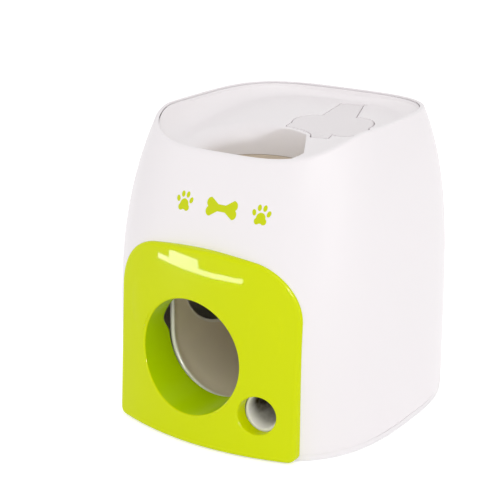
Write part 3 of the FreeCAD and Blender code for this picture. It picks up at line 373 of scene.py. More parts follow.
def casing_row(angle, height, inset):
    """One loop round the casing at height(rim) above the floor, that far inside the skin."""
    y = np.zeros_like(angle)
    for _ in range(8):
        rim = rim_height(y)
        z = height(rim) + np.zeros_like(angle)
        half_x, half_y, power, shift = section_sizes(z / rim, inset)
        x, y = oval(half_x, half_y, power, angle)
        y = y + shift
    return np.stack([x, y, z], 1)


def front_skin_y(x, z):
    """The casing's front skin above a point, found together with the rim's height there."""
    y = np.full(np.shape(x), -BASE_HALF[1])
    for _ in range(8):
        half_x, half_y, power, shift = section_sizes(z / rim_height(y), 0.0)
        y = shift - half_y * (1 - (np.abs(x) / half_x) ** power) ** (1 / power)
    return y


def make_casing(material):
    """White shell: smooth skin, rounded rim lip, wall thickness, holes behind the front panel."""
    angle = turn(288)
    lip, inner_lip, foot, crowding = 1.0, 0.5, 0.5, 1.35
    rows = []

    def row(height, inset):
        rows.append(casing_row(angle, height, inset))

    for below, inward in quarter_round(foot, 4):
        row(lambda r: SHELL_BOTTOM + inward, below)
    for s in 1 - (1 - np.linspace(0, 1, 64)[1:-1]) ** crowding:
        row(lambda r: SHELL_BOTTOM + foot + s * (r - lip - SHELL_BOTTOM - foot), 0.0)
    for below, inward in quarter_round(lip, 7):
        row(lambda r: r - below, inward)
    for below, inward in quarter_round(inner_lip, 5):
        row(lambda r: r - inward, SHELL_WALL - below)
    for s in np.linspace(1, 0, 20)[1:]:
        row(lambda r: SHELL_BOTTOM + s * (r - inner_lip - SHELL_BOTTOM), SHELL_WALL)
    casing = rows_object("casing", rows, close_rows=True)
    cut_y, cut_ahead, cut_depth = -120.0, 10.0, 60.0
    cutters = []
    for (x, z), radius, (run_x, run_z) in ((BALL_HOLE, BALL_HOLE_RADIUS + TUNNEL_WALL, TUNNEL_RUN),
                                           (TREAT_HOLE, TREAT_HOLE_RADIUS + COLLAR_WALL, (0.0, 0.0))):
        start = (x - run_x * cut_ahead, cut_y, z - run_z * cut_ahead)
        cutters.append(cylinder("cut", radius + HOLE_GAP, start, (run_x, 1, run_z), cut_depth))
    boolean(casing, cutters, "DIFFERENCE")
    return finish_piece(casing, "casing", "white_gloss", material, "outer_shell", angle=28)


# ---------- flat outlines and sheets
def walk(pieces, step):
    """Points along lines ("line", a, b) and arcs ("arc", centre, radius, from, to), with outward normals."""
    points, normals = [], []
    for piece in pieces:
        if piece[0] == "line":
            a, b = np.array(piece[1], float), np.array(piece[2], float)
            length = np.linalg.norm(b - a)
            count = max(int(length / step), 1)
            along = (b - a) / length
            for k in range(count):
                points.append(a + (b - a) * k / count)
                normals.append((along[1], -along[0]))
        else:
            _, centre, radius, first, last = piece
            count = max(int(abs(last - first) * radius / step), 8)
            for k in range(count):
                t = first + (last - first) * k / count
                points.append((centre[0] + radius * math.cos(t), centre[1] + radius * math.sin(t)))
                normals.append((math.cos(t), math.sin(t)))
    return np.array(points), np.array(normals)


def centred_box(half, low, high):
    """Corners of a rectangle that reaches half to each side, from low to high."""
    return [(-half, low), (half, low), (half, high), (-half, high)]


def rectangle(half, low, high, step):
    corners = centred_box(half, low, high)
    return walk([("line", a, b) for a, b in zip(corners, corners[1:] + corners[:1])], step)[0]


def inside_loop(points, loop):
    """Which points lie inside a closed loop."""
    x, y = points[:, 0:1], points[:, 1:2]
    ax, ay = loop[:, 0], loop[:, 1]
    bx, by = np.roll(ax, -1), np.roll(ay, -1)
    crosses = (ay > y) != (by > y)
    at = ax + (y - ay) * (bx - ax) / np.where(by == ay, 1e-9, by - ay)
    return (np.sum(crosses & (x < at), 1) % 2) == 1


def far_from(points, loop, distance):
    """Which points lie further than distance from every point of a loop."""
    gaps = np.linalg.norm(points[:, None, :] - loop[None, :, :], axis=2)
    return gaps.min(1) > distance


def outline_distance(points, outline):
    """Distance from points inside a finely stepped outline to it."""
    best = np.full(len(points), 1e9)
    for a, b in zip(outline, np.roll(outline, -1, axis=0)):
        ab = b - a
        t = np.clip(((points - a) @ ab) / (ab @ ab), 0, 1)
        best = np.minimum(best, np.linalg.norm(points - (a + t[:, None] * ab), axis=1))
    return np.where(best < ON_EDGE, 0.0, best)


def sheet(outer, holes=(), rings=(), filling=()):
    """Triangles between an outer loop and its holes.

    rings are loops kept as edges, filling are loose points."""
    points, edges = [], []
    for loop in [outer, *holes, *rings]:
        start = len(points)
        points.extend(loop.tolist())
        edges.extend([(start + i, start + (i + 1) % len(loop)) for i in range(len(loop))])
    points.extend([tuple(p) for p in filling])
    made = delaunay_2d_cdt([Vector(p) for p in points], edges, [], 0, 1e-6)
    verts = np.array([tuple(v) for v in made[0]])
    middles = np.array([verts[list(f)].mean(0) for f in made[2]])
    keep = inside_loop(middles, outer)
    for hole in holes:
        keep &= ~inside_loop(middles, hole)
    return verts, [f for f, k in zip(made[2], keep) if k]


def grid_points(low, high, step, loop, clear=0.0):
    """Staggered grid of points over a rectangle, kept inside a loop and clear of its points."""
    points = []
    y, odd = low[1], False
    while y < high[1]:
        x = low[0] + (step / 2 if odd else 0.0)
        while x < high[0]:
            points.append((x, y))
            x += step
        y += step * math.sqrt(3) / 2
        odd = not odd
    points = np.array(points)
    points = points[inside_loop(points, loop)]
    return points[far_from(points, loop, clear)] if clear else points


def loop_normals(loop):
    ahead = np.roll(loop, -1, axis=0) - np.roll(loop, 1, axis=0)
    ahead /= np.linalg.norm(ahead, axis=1)[:, None]
    return np.stack([ahead[:, 1], -ahead[:, 0]], 1)


def respaced(loop, step):
    """The same loop with points a step apart."""
    ahead = np.linalg.norm(np.roll(loop, -1, axis=0) - loop, axis=1)
    along = np.concatenate([[0], np.cumsum(ahead)])
    at = np.linspace(0, along[-1], int(along[-1] / step), endpoint=False)
    closed = np.vstack([loop, loop[:1]])
    return np.stack([np.interp(at, along, closed[:, i]) for i in (0, 1)], 1)


def polygon_reach(rays, corners):
    """How far rays from the origin go before they leave a convex outline round it."""
    corners = np.array(corners)
    out = np.full(len(rays), 1e9)
    for p, q in zip(corners, np.roll(corners, -1, axis=0)):
        normal = np.array([q[1] - p[1], p[0] - q[0]])
        facing = rays @ normal
        ahead = facing > 1e-9
        out = np.where(ahead, np.minimum(out, (p @ normal) / np.where(ahead, facing, 1)), out)
    return out


def circle_reach(rays, centre, radius):
    """How far rays from the origin go before they leave a circle, nought where they miss it."""
    along = rays @ np.array(centre)
    inside = along ** 2 - np.dot(centre, centre) + radius ** 2
    return np.where(inside > 0, along + np.sqrt(np.maximum(inside, 0)), 0)


# ---------- front panel
def bezel_outline(step):
    half, low, top = BEZEL_HALF_WIDTH, BEZEL_BOTTOM_RADIUS, BEZEL_TOP_RADIUS
    arch_radius = half ** 2 / (2 * BEZEL_ARCH)
    arch_centre = BEZEL_SHOULDER + BEZEL_ARCH - arch_radius
    rise = math.sqrt((arch_radius - top) ** 2 - (half - top) ** 2)
    side_top = arch_centre + rise
    bend = math.atan2(rise, half - top)
    pieces = [("line", (-half + low, BEZEL_BOTTOM), (half - low, BEZEL_BOTTOM)),
              ("arc", (half - low, BEZEL_BOTTOM + low), low, -math.pi / 2, 0),
              ("line", (half, BEZEL_BOTTOM + low), (half, side_top)),
              ("arc", (half - top, side_top), top, 0, bend),
              ("arc", (0, arch_centre), arch_radius, bend, math.pi - bend),
              ("arc", (top - half, side_top), top, math.pi - bend, math.pi),
              ("line", (-half, side_top), (-half, BEZEL_BOTTOM + low)),
              ("arc", (-half + low, BEZEL_BOTTOM + low), low, math.pi, 1.5 * math.pi)]
    return walk(pieces, step)


def bezel_face_y(x, z):
    return -(BASE_HALF[1] + BEZEL_PROUD - BEZEL_LEAN * z - x * x / (2 * BEZEL_PLAN_RADIUS))


def make_front_panel(material, tunnel_shade_material):
    """Glossy lime panel with rounded edges, the ball tunnel and the treat collar."""
    edge, hole_edge, least_side, least_drop = 2.4, 1.2, 0.5, 0.3
    outline, outward = bezel_outline(1.6)
    holes = []
    for centre, radius, wall, count in ((BALL_HOLE, BALL_HOLE_RADIUS, TUNNEL_WALL, 168),
                                        (TREAT_HOLE, TREAT_HOLE_RADIUS, COLLAR_WALL, 84)):
        out = directions(turn(count))
        holes.append((np.array(centre), radius, wall, np.array(centre) + radius * out, out))

    def back_y(p):
        return front_skin_y(p[:, 0], p[:, 1]) - SEAT_GAP

    def face_y(p):
        return bezel_face_y(p[:, 0], p[:, 1])

    def filling(step, inset, clear):
        grid = grid_points((-BEZEL_HALF_WIDTH, BEZEL_BOTTOM), (BEZEL_HALF_WIDTH, BEZEL_SHOULDER + BEZEL_ARCH),
                           step, outline - outward * inset)
        for centre, radius, *_ in holes:
            grid = grid[np.linalg.norm(grid - centre, axis=1) > radius + clear]
        return grid

    edge_drop = np.clip(back_y(outline) - face_y(outline) - least_side, least_drop, edge)
    rings = [outline - outward * d for d in edge_insets(edge, 8) + [edge + 0.8]]
    hole_insets = edge_insets(hole_edge, 6) + [hole_edge + 0.6, hole_edge + 1.8]
    rings += [loop + out * d for d in hole_insets for *_, loop, out in holes]
    grid = filling(3.0, edge + 2.0, hole_edge + 3.4)
    verts, faces = sheet(outline, [hole[3] for hole in holes], rings, grid)
    nearest = np.linalg.norm(verts[:, None, :] - outline[None, :, :], axis=2).argmin(1)
    drop = rounding(outline_distance(verts, outline), edge) * edge_drop[nearest] / edge
    for centre, radius, *_ in holes:
        drop += rounding(np.linalg.norm(verts - centre, axis=1) - radius, hole_edge)
    shape = Shape()
    shape.add(upright(verts, face_y(verts) + drop), faces)

    # side wall round the outline, and the back face against the casing
    front_edge = upright(outline, face_y(outline) + edge_drop)
    back_edge = upright(outline, back_y(outline))
    shape.add_rows([front_edge, front_edge * 0.5 + back_edge * 0.5, back_edge])
    walls = [centre + out * (radius + wall) for centre, radius, wall, _, out in holes]
    verts, faces = sheet(outline, walls, [], filling(7.0, 3.0, 4.5))
    shape.add(upright(verts, back_y(verts)), faces)

    # tunnel and collar: inner wall, rounded end lip, outer wall
    mitre = TUNNEL_MITRE * smoothstep((holes[0][3][:, 1] - TUNNEL_MITRE_Z) / TUNNEL_MITRE_RISE)
    ends = ((TUNNEL_END_Y - mitre, TUNNEL_RUN), (np.full(len(holes[1][3]), COLLAR_END_Y), (0.0, 0.0)))
    for (_, _, wall, loop, out), (end_y, run) in zip(holes, ends):
        start_y = face_y(loop) + hole_edge
        lip = wall * 0.4
        outer_loop = loop + out * wall
        outer_y = back_y(outer_loop)

        def section(y, grow):
            return upright(loop + out * grow + (y - start_y)[:, None] * np.array([run]), y)

        rows = [section(start_y + (end_y - lip - start_y) * s, 0.0) for s in np.linspace(0, 1, 9)]
        rows += [section(end_y - below, inward) for below, inward in quarter_round(lip, 5)[1:]]
        rows += [section(end_y - inward, wall - below) for below, inward in quarter_round(lip, 5)]
        rows += [section(end_y - lip + (outer_y - end_y + lip) * s, wall) for s in np.linspace(0, 1, 7)[1:-1]]
        shape.add_rows(rows + [upright(outer_loop, outer_y)])
    panel = new_object("front_panel", shape)
    finish_piece(panel, "casing", "lime_gloss", material, "front_bezel", angle=30)
    # Painted shade: the deep wall of the ball tunnel takes a darker, greener copy of the lime.
    x, y, z = polygon_middles(panel).T
    deep = y - bezel_face_y(x, z) > hole_edge * 1.5
    run_x, run_z = TUNNEL_RUN[0] * (y + 100.0), TUNNEL_RUN[1] * (y + 100.0)
    near = np.hypot(x - BALL_HOLE[0] - run_x, z - BALL_HOLE[1] - run_z) < BALL_HOLE_RADIUS + 1.0
    second_material(panel, tunnel_shade_material, deep & near)
    return panel


# ---------- top tray
def floor_z(y):
    return FLOOR_Z + FLOOR_SLOPE * y


def radial(x, y):
    """Radius of an outline as a function of direction from the tray's middle."""
    direction = np.arctan2(y - FLOOR_Y, x)
    order = np.argsort(direction)
    direction, radius = direction[order], np.hypot(x, y - FLOOR_Y)[order]
    direction = np.concatenate([direction - 2 * math.pi, direction, direction + 2 * math.pi])
    radius = np.tile(radius, 3)
    return lambda a: np.interp(a, direction, radius)


def tray_rim(angle):
    return casing_row(angle, lambda r: r - TRAY_DROP, SHELL_WALL + TRAY_GAP)[:, :2]


FINE = turn(1440)
floor_x, floor_y = oval(*FLOOR_HALF, FLOOR_POWER, FINE)
FLOOR_RADIUS = radial(floor_x, floor_y + FLOOR_Y)
RIM_RADIUS = radial(*tray_rim(FINE).T)


def tray_z(p):
    """Height of the dish before the well and the lid are let in: sloped floor and curved walls."""
    x, y = p[:, 0], p[:, 1]
    direction = np.arctan2(y - FLOOR_Y, x)
    inner, outer = FLOOR_RADIUS(direction), RIM_RADIUS(direction)
    t = np.clip((np.hypot(x, y - FLOOR_Y) - inner) / (outer - inner), 0, 1)
    low = floor_z(np.where(t > 0, FLOOR_Y + inner * np.sin(direction), y))
    high = rim_height(FLOOR_Y + outer * np.sin(direction)) - TRAY_DROP
    return low + (high - low) * t ** DISH_POWER


def well_reach(bearing):
    """Distance from the well's middle to its wall: a circle with one flat side towards the lid."""
    return np.minimum(WELL_RADIUS, WELL_FLAT_REACH / np.maximum(np.cos(bearing - WELL_FLAT_TURN), 0.01))


def well_blend(bearing):
    """How wide the rounding into the well is: broad at the left, tight by the lid and the front rim."""
    degrees = np.degrees(bearing) % 360.0
    rise = smoothstep((degrees - WELL_BLEND_START) / WELL_BLEND_RISE)
    fall = smoothstep((WELL_BLEND_END - degrees) / WELL_BLEND_FALL)
    return WELL_TIGHT + (WELL_BROAD - WELL_TIGHT) * rise * fall


def past_well_wall(points):
    """How far points lie outside the well's wall, and how wide its rounding is there."""
    offset = points - WELL
    bearing = np.arctan2(offset[:, 1], offset[:, 0])
    return np.hypot(offset[:, 0], offset[:, 1]) - well_reach(bearing), well_blend(bearing)


def lid_outline(grow, margin, tail):
    """The lid's lobed outline in its own plane, cut by the form of the well plus margin.

    tail is how far back the hinge end goes."""
    d = directions(turn(LID_STEPS))
    reach = np.zeros(LID_STEPS)
    for sx in (-1, 1):
        for sy in (-1, 1):
            reach = np.maximum(reach, circle_reach(d, (sx * LOBE[0], sy * LOBE[1]), LOBE_RADIUS + grow))
    tab_root, tab_end, front = TAB_ROOT[0] + grow, TAB_END[0] + grow, FRONT_TAB[0] + grow
    waist = LID_WAIST_HALF + grow
    outlines = [centred_box(LOBE[0], -waist, waist),
                [(-tab_root, -5.0), (tab_root, -5.0), (tab_root, TAB_ROOT[1]), (tab_end, TAB_END[1]),
                 (-tab_end, TAB_END[1]), (-tab_root, TAB_ROOT[1])],
                centred_box(tab_end, -5.0, tail), centred_box(front, FRONT_TAB[1] - grow, 5.0)]
    for corners in outlines:
        reach = np.maximum(reach, polygon_reach(d, corners))
    ray = lid_plan(d)
    gap = np.array(LID_MIDDLE) - np.array(WELL)
    qa = np.sum(ray * ray, 1)
    qb = ray @ gap
    root = qb ** 2 - qa * (gap @ gap - (WELL_RADIUS + margin) ** 2)
    side = np.array([math.cos(WELL_FLAT_TURN), math.sin(WELL_FLAT_TURN)])
    closing = -(ray @ side)
    hits = (root > 0) & (qb < 0) & (closing > 1e-6)
    into_circle = (-qb - np.sqrt(np.maximum(root, 0))) / qa
    past_flat = (gap @ side - WELL_FLAT_REACH - margin) / np.where(closing > 1e-6, closing, 1)
    entry = np.where(hits, np.maximum(into_circle, past_flat), 1e9)
    leaves = (-qb + np.sqrt(np.maximum(root, 0))) / qa
    entry = np.where(entry > leaves, 1e9, entry)
    return d * np.minimum(reach, entry)[:, None]


def lid_plan(xy):
    """Vectors of the lid's own plane seen in plan: turned about its normal, then tilted with the floor."""
    x = xy[:, 0] * math.cos(LID_TURN) - xy[:, 1] * math.sin(LID_TURN)
    y = xy[:, 0] * math.sin(LID_TURN) + xy[:, 1] * math.cos(LID_TURN)
    return np.stack([x, y * math.cos(LID_TILT)], 1)


def lid_point(xy, z):
    """Points of the lid's own frame in casing millimetres."""
    xy = np.asarray(xy, float)
    x, y = lid_plan(xy).T
    z = np.zeros(len(xy)) + z
    return np.stack([x + LID_MIDDLE[0], y - z * math.sin(LID_TILT) + LID_MIDDLE[1],
                     y * math.tan(LID_TILT) + z * math.cos(LID_TILT) + floor_z(LID_MIDDLE[1])], 1)


def make_top_tray(material):
    """Dished tray: floor, curved walls, softly rounded well mouth and the lid's recess."""
    rim_edge, rim_depth = 0.6, 6.0
    middle = np.array([0.0, FLOOR_Y])
    rim_loop = tray_rim(turn(260))
    bearing = np.arctan2(rim_loop[:, 1] - FLOOR_Y, rim_loop[:, 0])
    outer_reach = np.hypot(rim_loop[:, 0], rim_loop[:, 1] - FLOOR_Y)
    inner_reach = FLOOR_RADIUS(bearing)

    def dish_loop(reach):
        return middle + directions(bearing) * reach[:, None]

    def on_dish(loop, drop):
        return np.column_stack([loop, tray_z(loop) - drop])

    levels = [0.99, 0.975] + [1 - 0.04 * k for k in range(1, 7)] + [0.66, 0.54, 0.4, 0.25, 0.1]
    dish = [dish_loop(inner_reach + (outer_reach - inner_reach) * t) for t in levels]
    floor = grid_points((-70, -66), (70, 86), 3.0, dish_loop(inner_reach * 0.99))
    filling = np.concatenate(dish + [floor])

    well_angle = turn(200)
    blend = well_blend(well_angle)

    def well_loop(share):
        return np.array(WELL) + directions(well_angle) * (well_reach(well_angle) + blend * share)[:, None]

    well_rings = [well_loop(s) for s in edge_insets(1.0, 9) + [1.15]]
    tail = TAB_END[1] + KNUCKLE_RADIUS + LID_GAP
    recess = respaced(lid_outline(LID_GAP, LID_WELL_MARGIN - LID_GAP, tail), 0.7)
    recess_plan = lid_plan(recess) + LID_MIDDLE
    recess_rings = [recess_plan + loop_normals(recess_plan) * LID_EDGE * s for s in (0.3, 1.0)]

    past, width = past_well_wall(filling)
    filling = filling[past > width * 1.2 + 0.6]
    filling = filling[~inside_loop(filling, recess_plan)]
    filling = filling[far_from(filling, recess_plan, 1.1)]
    verts, faces = sheet(rim_loop, [well_loop(0.0), recess_plan], recess_rings + well_rings, filling)
    z = tray_z(verts)
    past, width = past_well_wall(verts)
    z -= WELL_SOFTNESS * rounding(past, width)
    z -= rounding(outline_distance(verts, rim_loop), rim_edge)
    z -= rounding(outline_distance(verts, recess_plan), LID_EDGE)
    shape = Shape()
    shape.add(np.column_stack([verts, z]), faces)

    # the well's wall, the recess's wall, ledge and mouth, and the rim's outer wall
    top = on_dish(well_loop(0.0), blend * WELL_SOFTNESS)
    fall = (WELL_COLLAR_BOTTOM - top) * [0, 0, 1]
    shape.add_rows([top + fall * s for s in np.linspace(0, 1, 6)])
    ledge_z = -LID_THICKNESS - 0.25
    shape.add_rows([on_dish(recess_plan, LID_EDGE), lid_point(recess, ledge_z)])
    slot_half, slot_back = TAB_END[0] + LID_GAP * 0.6, tail - LID_GAP * 0.4
    openings = [rectangle(MOUTH_HALF[0], -MOUTH_HALF[1], MOUTH_HALF[1], 2.0),
                rectangle(slot_half, TAB_END[1] - 4.0, slot_back, 1.0)]
    verts, faces = sheet(recess, openings)
    shape.add(lid_point(verts, ledge_z), faces)
    for opening in openings:
        shape.add_rows([lid_point(opening, ledge_z), lid_point(opening, -PAD_DEPTH)])
    down = on_dish(rim_loop, rim_edge)
    shape.add_rows([down, down - [0, 0, rim_depth]])
    tray = new_object("top_dish", shape, merge=0.02)
    mod = tray.modifiers.new("wall", "SOLIDIFY")
    mod.thickness = TRAY_SKIN * MM
    mod.offset = -1.0
    apply_modifiers(tray)
    return finish_piece(tray, "casing", "tray_white", material, "top_tray", angle=40)


def make_lid(material):
    """Flush lobed lid: softened top edge, thickness, hinge knuckle and a finger dip in the front tab."""
    dip_depth, dip_radius, dip_y = 1.2, 5.0, FRONT_TAB[1] + 7.5
    outline = respaced(lid_outline(-LID_TRIM, LID_WELL_MARGIN + LID_TRIM, TAB_END[1]), 0.8)
    rings = [outline - loop_normals(outline) * d for d in (LID_EDGE * 0.3, LID_EDGE, 1.2)]
    verts, faces = sheet(outline, [], rings, grid_points((-32, -30), (32, 45), 2.6, outline, 2.0))
    z = -rounding(outline_distance(verts, outline), LID_EDGE)
    z -= dip_depth * (1 - smoothstep(np.hypot(verts[:, 0], verts[:, 1] - dip_y) / dip_radius))
    shape = Shape()
    shape.add(lid_point(verts, z), faces)
    shape.add_rows([lid_point(outline, -LID_EDGE), lid_point(outline, -LID_THICKNESS)])
    verts, faces = sheet(outline)
    shape.add(lid_point(verts, -LID_THICKNESS), faces)
    lid = new_object("hopper_lid", shape, merge=0.02)
    axis = lid_point([(-TAB_END[0], TAB_END[1]), TAB_END], -KNUCKLE_RADIUS)
    along = axis[1] - axis[0]
    length = np.linalg.norm(along)
    boolean(lid, [cylinder("knuckle", KNUCKLE_RADIUS, axis[0], along, length, 48)], "UNION")
    bore = cylinder("pin_bore", PIN_RADIUS + PIN_GAP, axis[0] - along, along, length * 3, 32)
    boolean(lid, [bore], "DIFFERENCE")
    return finish_piece(lid, "lid", "tray_white", material, "treat_lid", angle=40)


# ---------- ball scoop
# s runs along the scoop's axis, l round its section from the bottom, r out from its axis and w up
# from the axis, square to it
def scoop_place(s, l, r):
    """Points of the scoop in casing millimetres."""
    around = np.clip(np.abs(l), 0, SCOOP_QUARTER) / SCOOP_RADIUS
    w = np.maximum(np.abs(l) - SCOOP_QUARTER, 0) - r * np.cos(around)
    return np.stack([SCOOP_X + np.sign(l) * r * np.sin(around),
                     SCOOP_FRONT[0] + s * SCOOP_COS - w * SCOOP_SIN,
                     SCOOP_FRONT[1] + s * SCOOP_SIN + w * SCOOP_COS], 1)


def scoop_axes(y, z):
    """s and w of points at y and z."""
    dy, dz = y - SCOOP_FRONT[0], z - SCOOP_FRONT[1]
    return dy * SCOOP_COS + dz * SCOOP_SIN, dz * SCOOP_COS - dy * SCOOP_SIN


def side_wall_point(y, z):
    """s and l of points on a side wall."""
    s, w = scoop_axes(y, z)
    around = np.arccos(np.clip(-w / SCOOP_RADIUS, 0, 1)) * SCOOP_RADIUS
    return np.stack([s, np.where(w > 0, SCOOP_QUARTER + w, around)], 1)


def scoop_flat(points):
    """s, l and r of points in casing millimetres."""
    dx = points[:, 0] - SCOOP_X
    s, w = scoop_axes(points[:, 1], points[:, 2])
    r = np.where(w > 0, np.abs(dx), np.hypot(dx, w))
    around = np.arctan2(np.abs(dx), np.maximum(-w, 1e-9)) * SCOOP_RADIUS
    return np.stack([s, np.sign(dx) * (around + np.maximum(w, 0)), r], 1)


def scoop_mouth(l, y=SCOOP_MOUTH_Y):
    """How far along the axis an upright cut across the wall at y lies."""
    l = np.abs(l)
    w = np.where(l < SCOOP_QUARTER, -SCOOP_RADIUS * np.cos(l / SCOOP_RADIUS), l - SCOOP_QUARTER)
    return (y - SCOOP_FRONT[0] + w * SCOOP_SIN) / SCOOP_COS


def scoop_outline():
    """The scoop's wall unrolled flat: level top edges, and the round saddle cut in both side walls."""
    widest = math.acos(-(SCOOP_TOP - SADDLE[1]) / SADDLE_RADIUS)
    round_cut = np.linspace(-widest, widest, 90)
    cut_y = SADDLE[0] + SADDLE_RADIUS * np.sin(round_cut)
    cut_z = SADDLE[1] - SADDLE_RADIUS * np.cos(round_cut)
    back_top = (SCOOP_TOP - SCOOP_FRONT[1] - SCOOP_LENGTH * SCOOP_SIN) / SCOOP_COS
    back_y = SCOOP_FRONT[0] + SCOOP_LENGTH * SCOOP_COS - back_top * SCOOP_SIN
    up = side_wall_point(np.append(cut_y, back_y), np.append(cut_z, SCOOP_TOP))
    front_top = side_wall_point(np.array([SCOOP_MOUTH_Y]), np.array([SCOOP_TOP]))[0, 1]
    round_front = np.linspace(-front_top, front_top, 61)
    front = np.stack([scoop_mouth(round_front), round_front], 1)
    return respaced(np.concatenate([front, up, up[::-1] * [1, -1]])[::-1], 0.8)


def leg_plate(y):
    """One leg: an upright plate whose top follows the trough's round bottom."""
    middle = SCOOP_RADIUS + SCOOP_WALL / 2
    reach = math.asin(LEG_HALF_WIDTH / middle) * SCOOP_RADIUS
    l = np.linspace(-reach, reach, 31)
    rows = []
    for at in (y, y + LEG_THICKNESS):
        top = scoop_place(scoop_mouth(l, at), l, middle)
        foot = [(SCOOP_X + LEG_HALF_WIDTH, at, BASE_TOP), (SCOOP_X - LEG_HALF_WIDTH, at, BASE_TOP)]
        row = np.concatenate([top, foot])
        row[:, 1] = at
        rows.append(row)
    return rows_object("leg", rows)


def back_plate():
    """The scoop's end wall, its rim let into the round wall."""
    half = 30
    count = 2 * half + 1
    inset, outer_inset, below_top = 0.2, 0.3, 0.6
    reach = SCOOP_QUARTER + (SCOOP_TOP - SCOOP_FRONT[1] - SCOOP_LENGTH * SCOOP_SIN) - below_top
    across = [(i, i + 1, count - 2 - i, count - 1 - i) for i in range(half - 1)]
    across.append((half - 1, half, half + 1))
    shape = Shape()
    for s in (SCOOP_LENGTH - SCOOP_WALL - inset, SCOOP_LENGTH - outer_inset):
        rim = scoop_place(np.full(count, s), np.linspace(-1, 1, count) * reach, SCOOP_RADIUS + SCOOP_WALL / 2)
        shape.add(rim, across)
    for i in range(count):
        k = (i + 1) % count
        shape.faces.append((i, k, count + k, count + i))
    return new_object("back", shape)


def make_scoop(material, highlight_material):
    """Trough that carries the ball to the tunnel: rolled edges, saddle cuts, legs and the shaft's ears."""
    thinning, bead_margin = 1.6, 0.5
    outline = scoop_outline()
    insets = edge_insets(SCOOP_BEAD, 6) + [SCOOP_BEAD + d for d in (0.5, 1.1, 1.8)]
    rings = [outline - loop_normals(outline) * d for d in insets]
    half_width = SCOOP_QUARTER + 40.0
    grid = grid_points((-6, -half_width), (SCOOP_LENGTH + 2, half_width), 3.2, outline, SCOOP_BEAD + 3.4)
    verts, faces = sheet(outline, [], rings, grid)
    s, l = verts.T
    gap = outline_distance(verts, outline)
    nose = np.sqrt(np.maximum(SCOOP_BEAD ** 2 - (SCOOP_BEAD - np.minimum(gap, SCOOP_BEAD)) ** 2, 0))
    thinner = smoothstep((gap - SCOOP_BEAD) / thinning)
    half_wall = nose + (SCOOP_WALL / 2 - SCOOP_BEAD) * thinner
    rolled_out = (SCOOP_BEAD - SCOOP_WALL / 2) * (1 - thinner)
    sideways = np.sin(np.minimum(np.abs(l) / SCOOP_RADIUS, math.pi / 2)) ** 2
    from_mouth = smoothstep((s - scoop_mouth(l)) / SCOOP_NOSE_REACH)
    drawn_in = (SCOOP_NOSE + SCOOP_PINCH * sideways) * (1 - from_mouth)
    middle = SCOOP_RADIUS + SCOOP_CLEAR + SCOOP_WALL / 2 - drawn_in + rolled_out
    faces = [f for f in faces if half_wall[list(f)].max() > 0]
    shape = Shape()
    for side in (-1, 1):
        shape.add(scoop_place(s, l, middle + side * half_wall), faces)
    scoop = new_object("trough", shape)

    extras = [back_plate()]
    foot_half, foot_long, foot_high = LEG_FOOT
    for y in LEG_YS:
        extras.append(leg_plate(y))
        extras.append(block("foot", (SCOOP_X - foot_half, y - 0.01, BASE_TOP),
                            (SCOOP_X + foot_half, y + foot_long, BASE_TOP + foot_high)))
    wall_x = SCOOP_X + SCOOP_RADIUS + 0.8
    bores = []
    for y0, y1 in EARS:
        extras.append(cylinder("boss", EAR_RADIUS, (SHAFT[0], y0, SHAFT[1]), (0, 1, 0), y1 - y0, 48))
        extras.append(block("gusset", (wall_x, y0 + 0.01, SHAFT[1] - EAR_DROP),
                            (SHAFT[0] + 2.0, y1 - 0.01, SHAFT[1] - 1.0)))
        bores.append(cylinder("bore", EAR_BORE, (SHAFT[0], y0 - 1, SHAFT[1]), (0, 1, 0), y1 - y0 + 2, 40))
    boolean(scoop, extras, "UNION")
    boolean(scoop, bores, "DIFFERENCE")
    scoop.name = "ball_trough"
    finish_piece(scoop, "casing", "cream_plastic", material, "ball_scoop", angle=40)
    # Painted highlight: the rolled bead takes a lighter, glossier copy of the cream plastic.
    flat = scoop_flat(polygon_middles(scoop))
    off_wall = np.abs(flat[:, 2] - SCOOP_RADIUS - SCOOP_WALL / 2)
    on_bead = outline_distance(flat[:, :2], outline) < SCOOP_BEAD + bead_margin
    second_material(scoop, highlight_material, on_bead & (off_wall < SCOOP_BEAD + SCOOP_NOSE + SCOOP_PINCH))
    return scoop


# ---------- drop tube and treat chute
def make_drop_tube(material):
    """Tube under the well: socket at the top round the tray's collar, rolled bead at the bottom."""
    bead, lip = TUBE_BEAD, 0.6
    outer = WELL_RADIUS + TUBE_WALL
    inner_socket, socket = outer + SOCKET_GAP, outer + SOCKET_GAP + TUBE_WALL
    profile = [(WELL_RADIUS, TUBE_BOTTOM + bead)]
    for k in np.linspace(math.pi, 2.25 * math.pi, 15):
        profile.append((outer - 0.2 + (bead + 0.1) * math.cos(k), TUBE_BOTTOM + bead * (1 + math.sin(k))))
    profile += [(outer, TUBE_BOTTOM + 2.4 * bead), (outer, SOCKET_BOTTOM - 1.0)]
    for below, inward in quarter_round(1.0, 5):
        profile.append((socket - (socket - outer - 0.3) * below, SOCKET_BOTTOM + 0.8 * inward))
    profile += [(socket - inward, TUBE_TOP - below) for below, inward in quarter_round(lip, 5)]
    profile += [(inner_socket + 0.3, TUBE_TOP), (inner_socket, TUBE_TOP - 0.3),
                (inner_socket, WELL_COLLAR_BOTTOM - 0.3), (WELL_RADIUS, WELL_COLLAR_BOTTOM - 0.3)]
    tube = rows_object("well_tube", [level_ring(WELL, r, z, 144) for r, z in profile], close_rows=True)
    return finish_piece(tube, "casing", "cream_plastic", material, "drop_tube", angle=35)


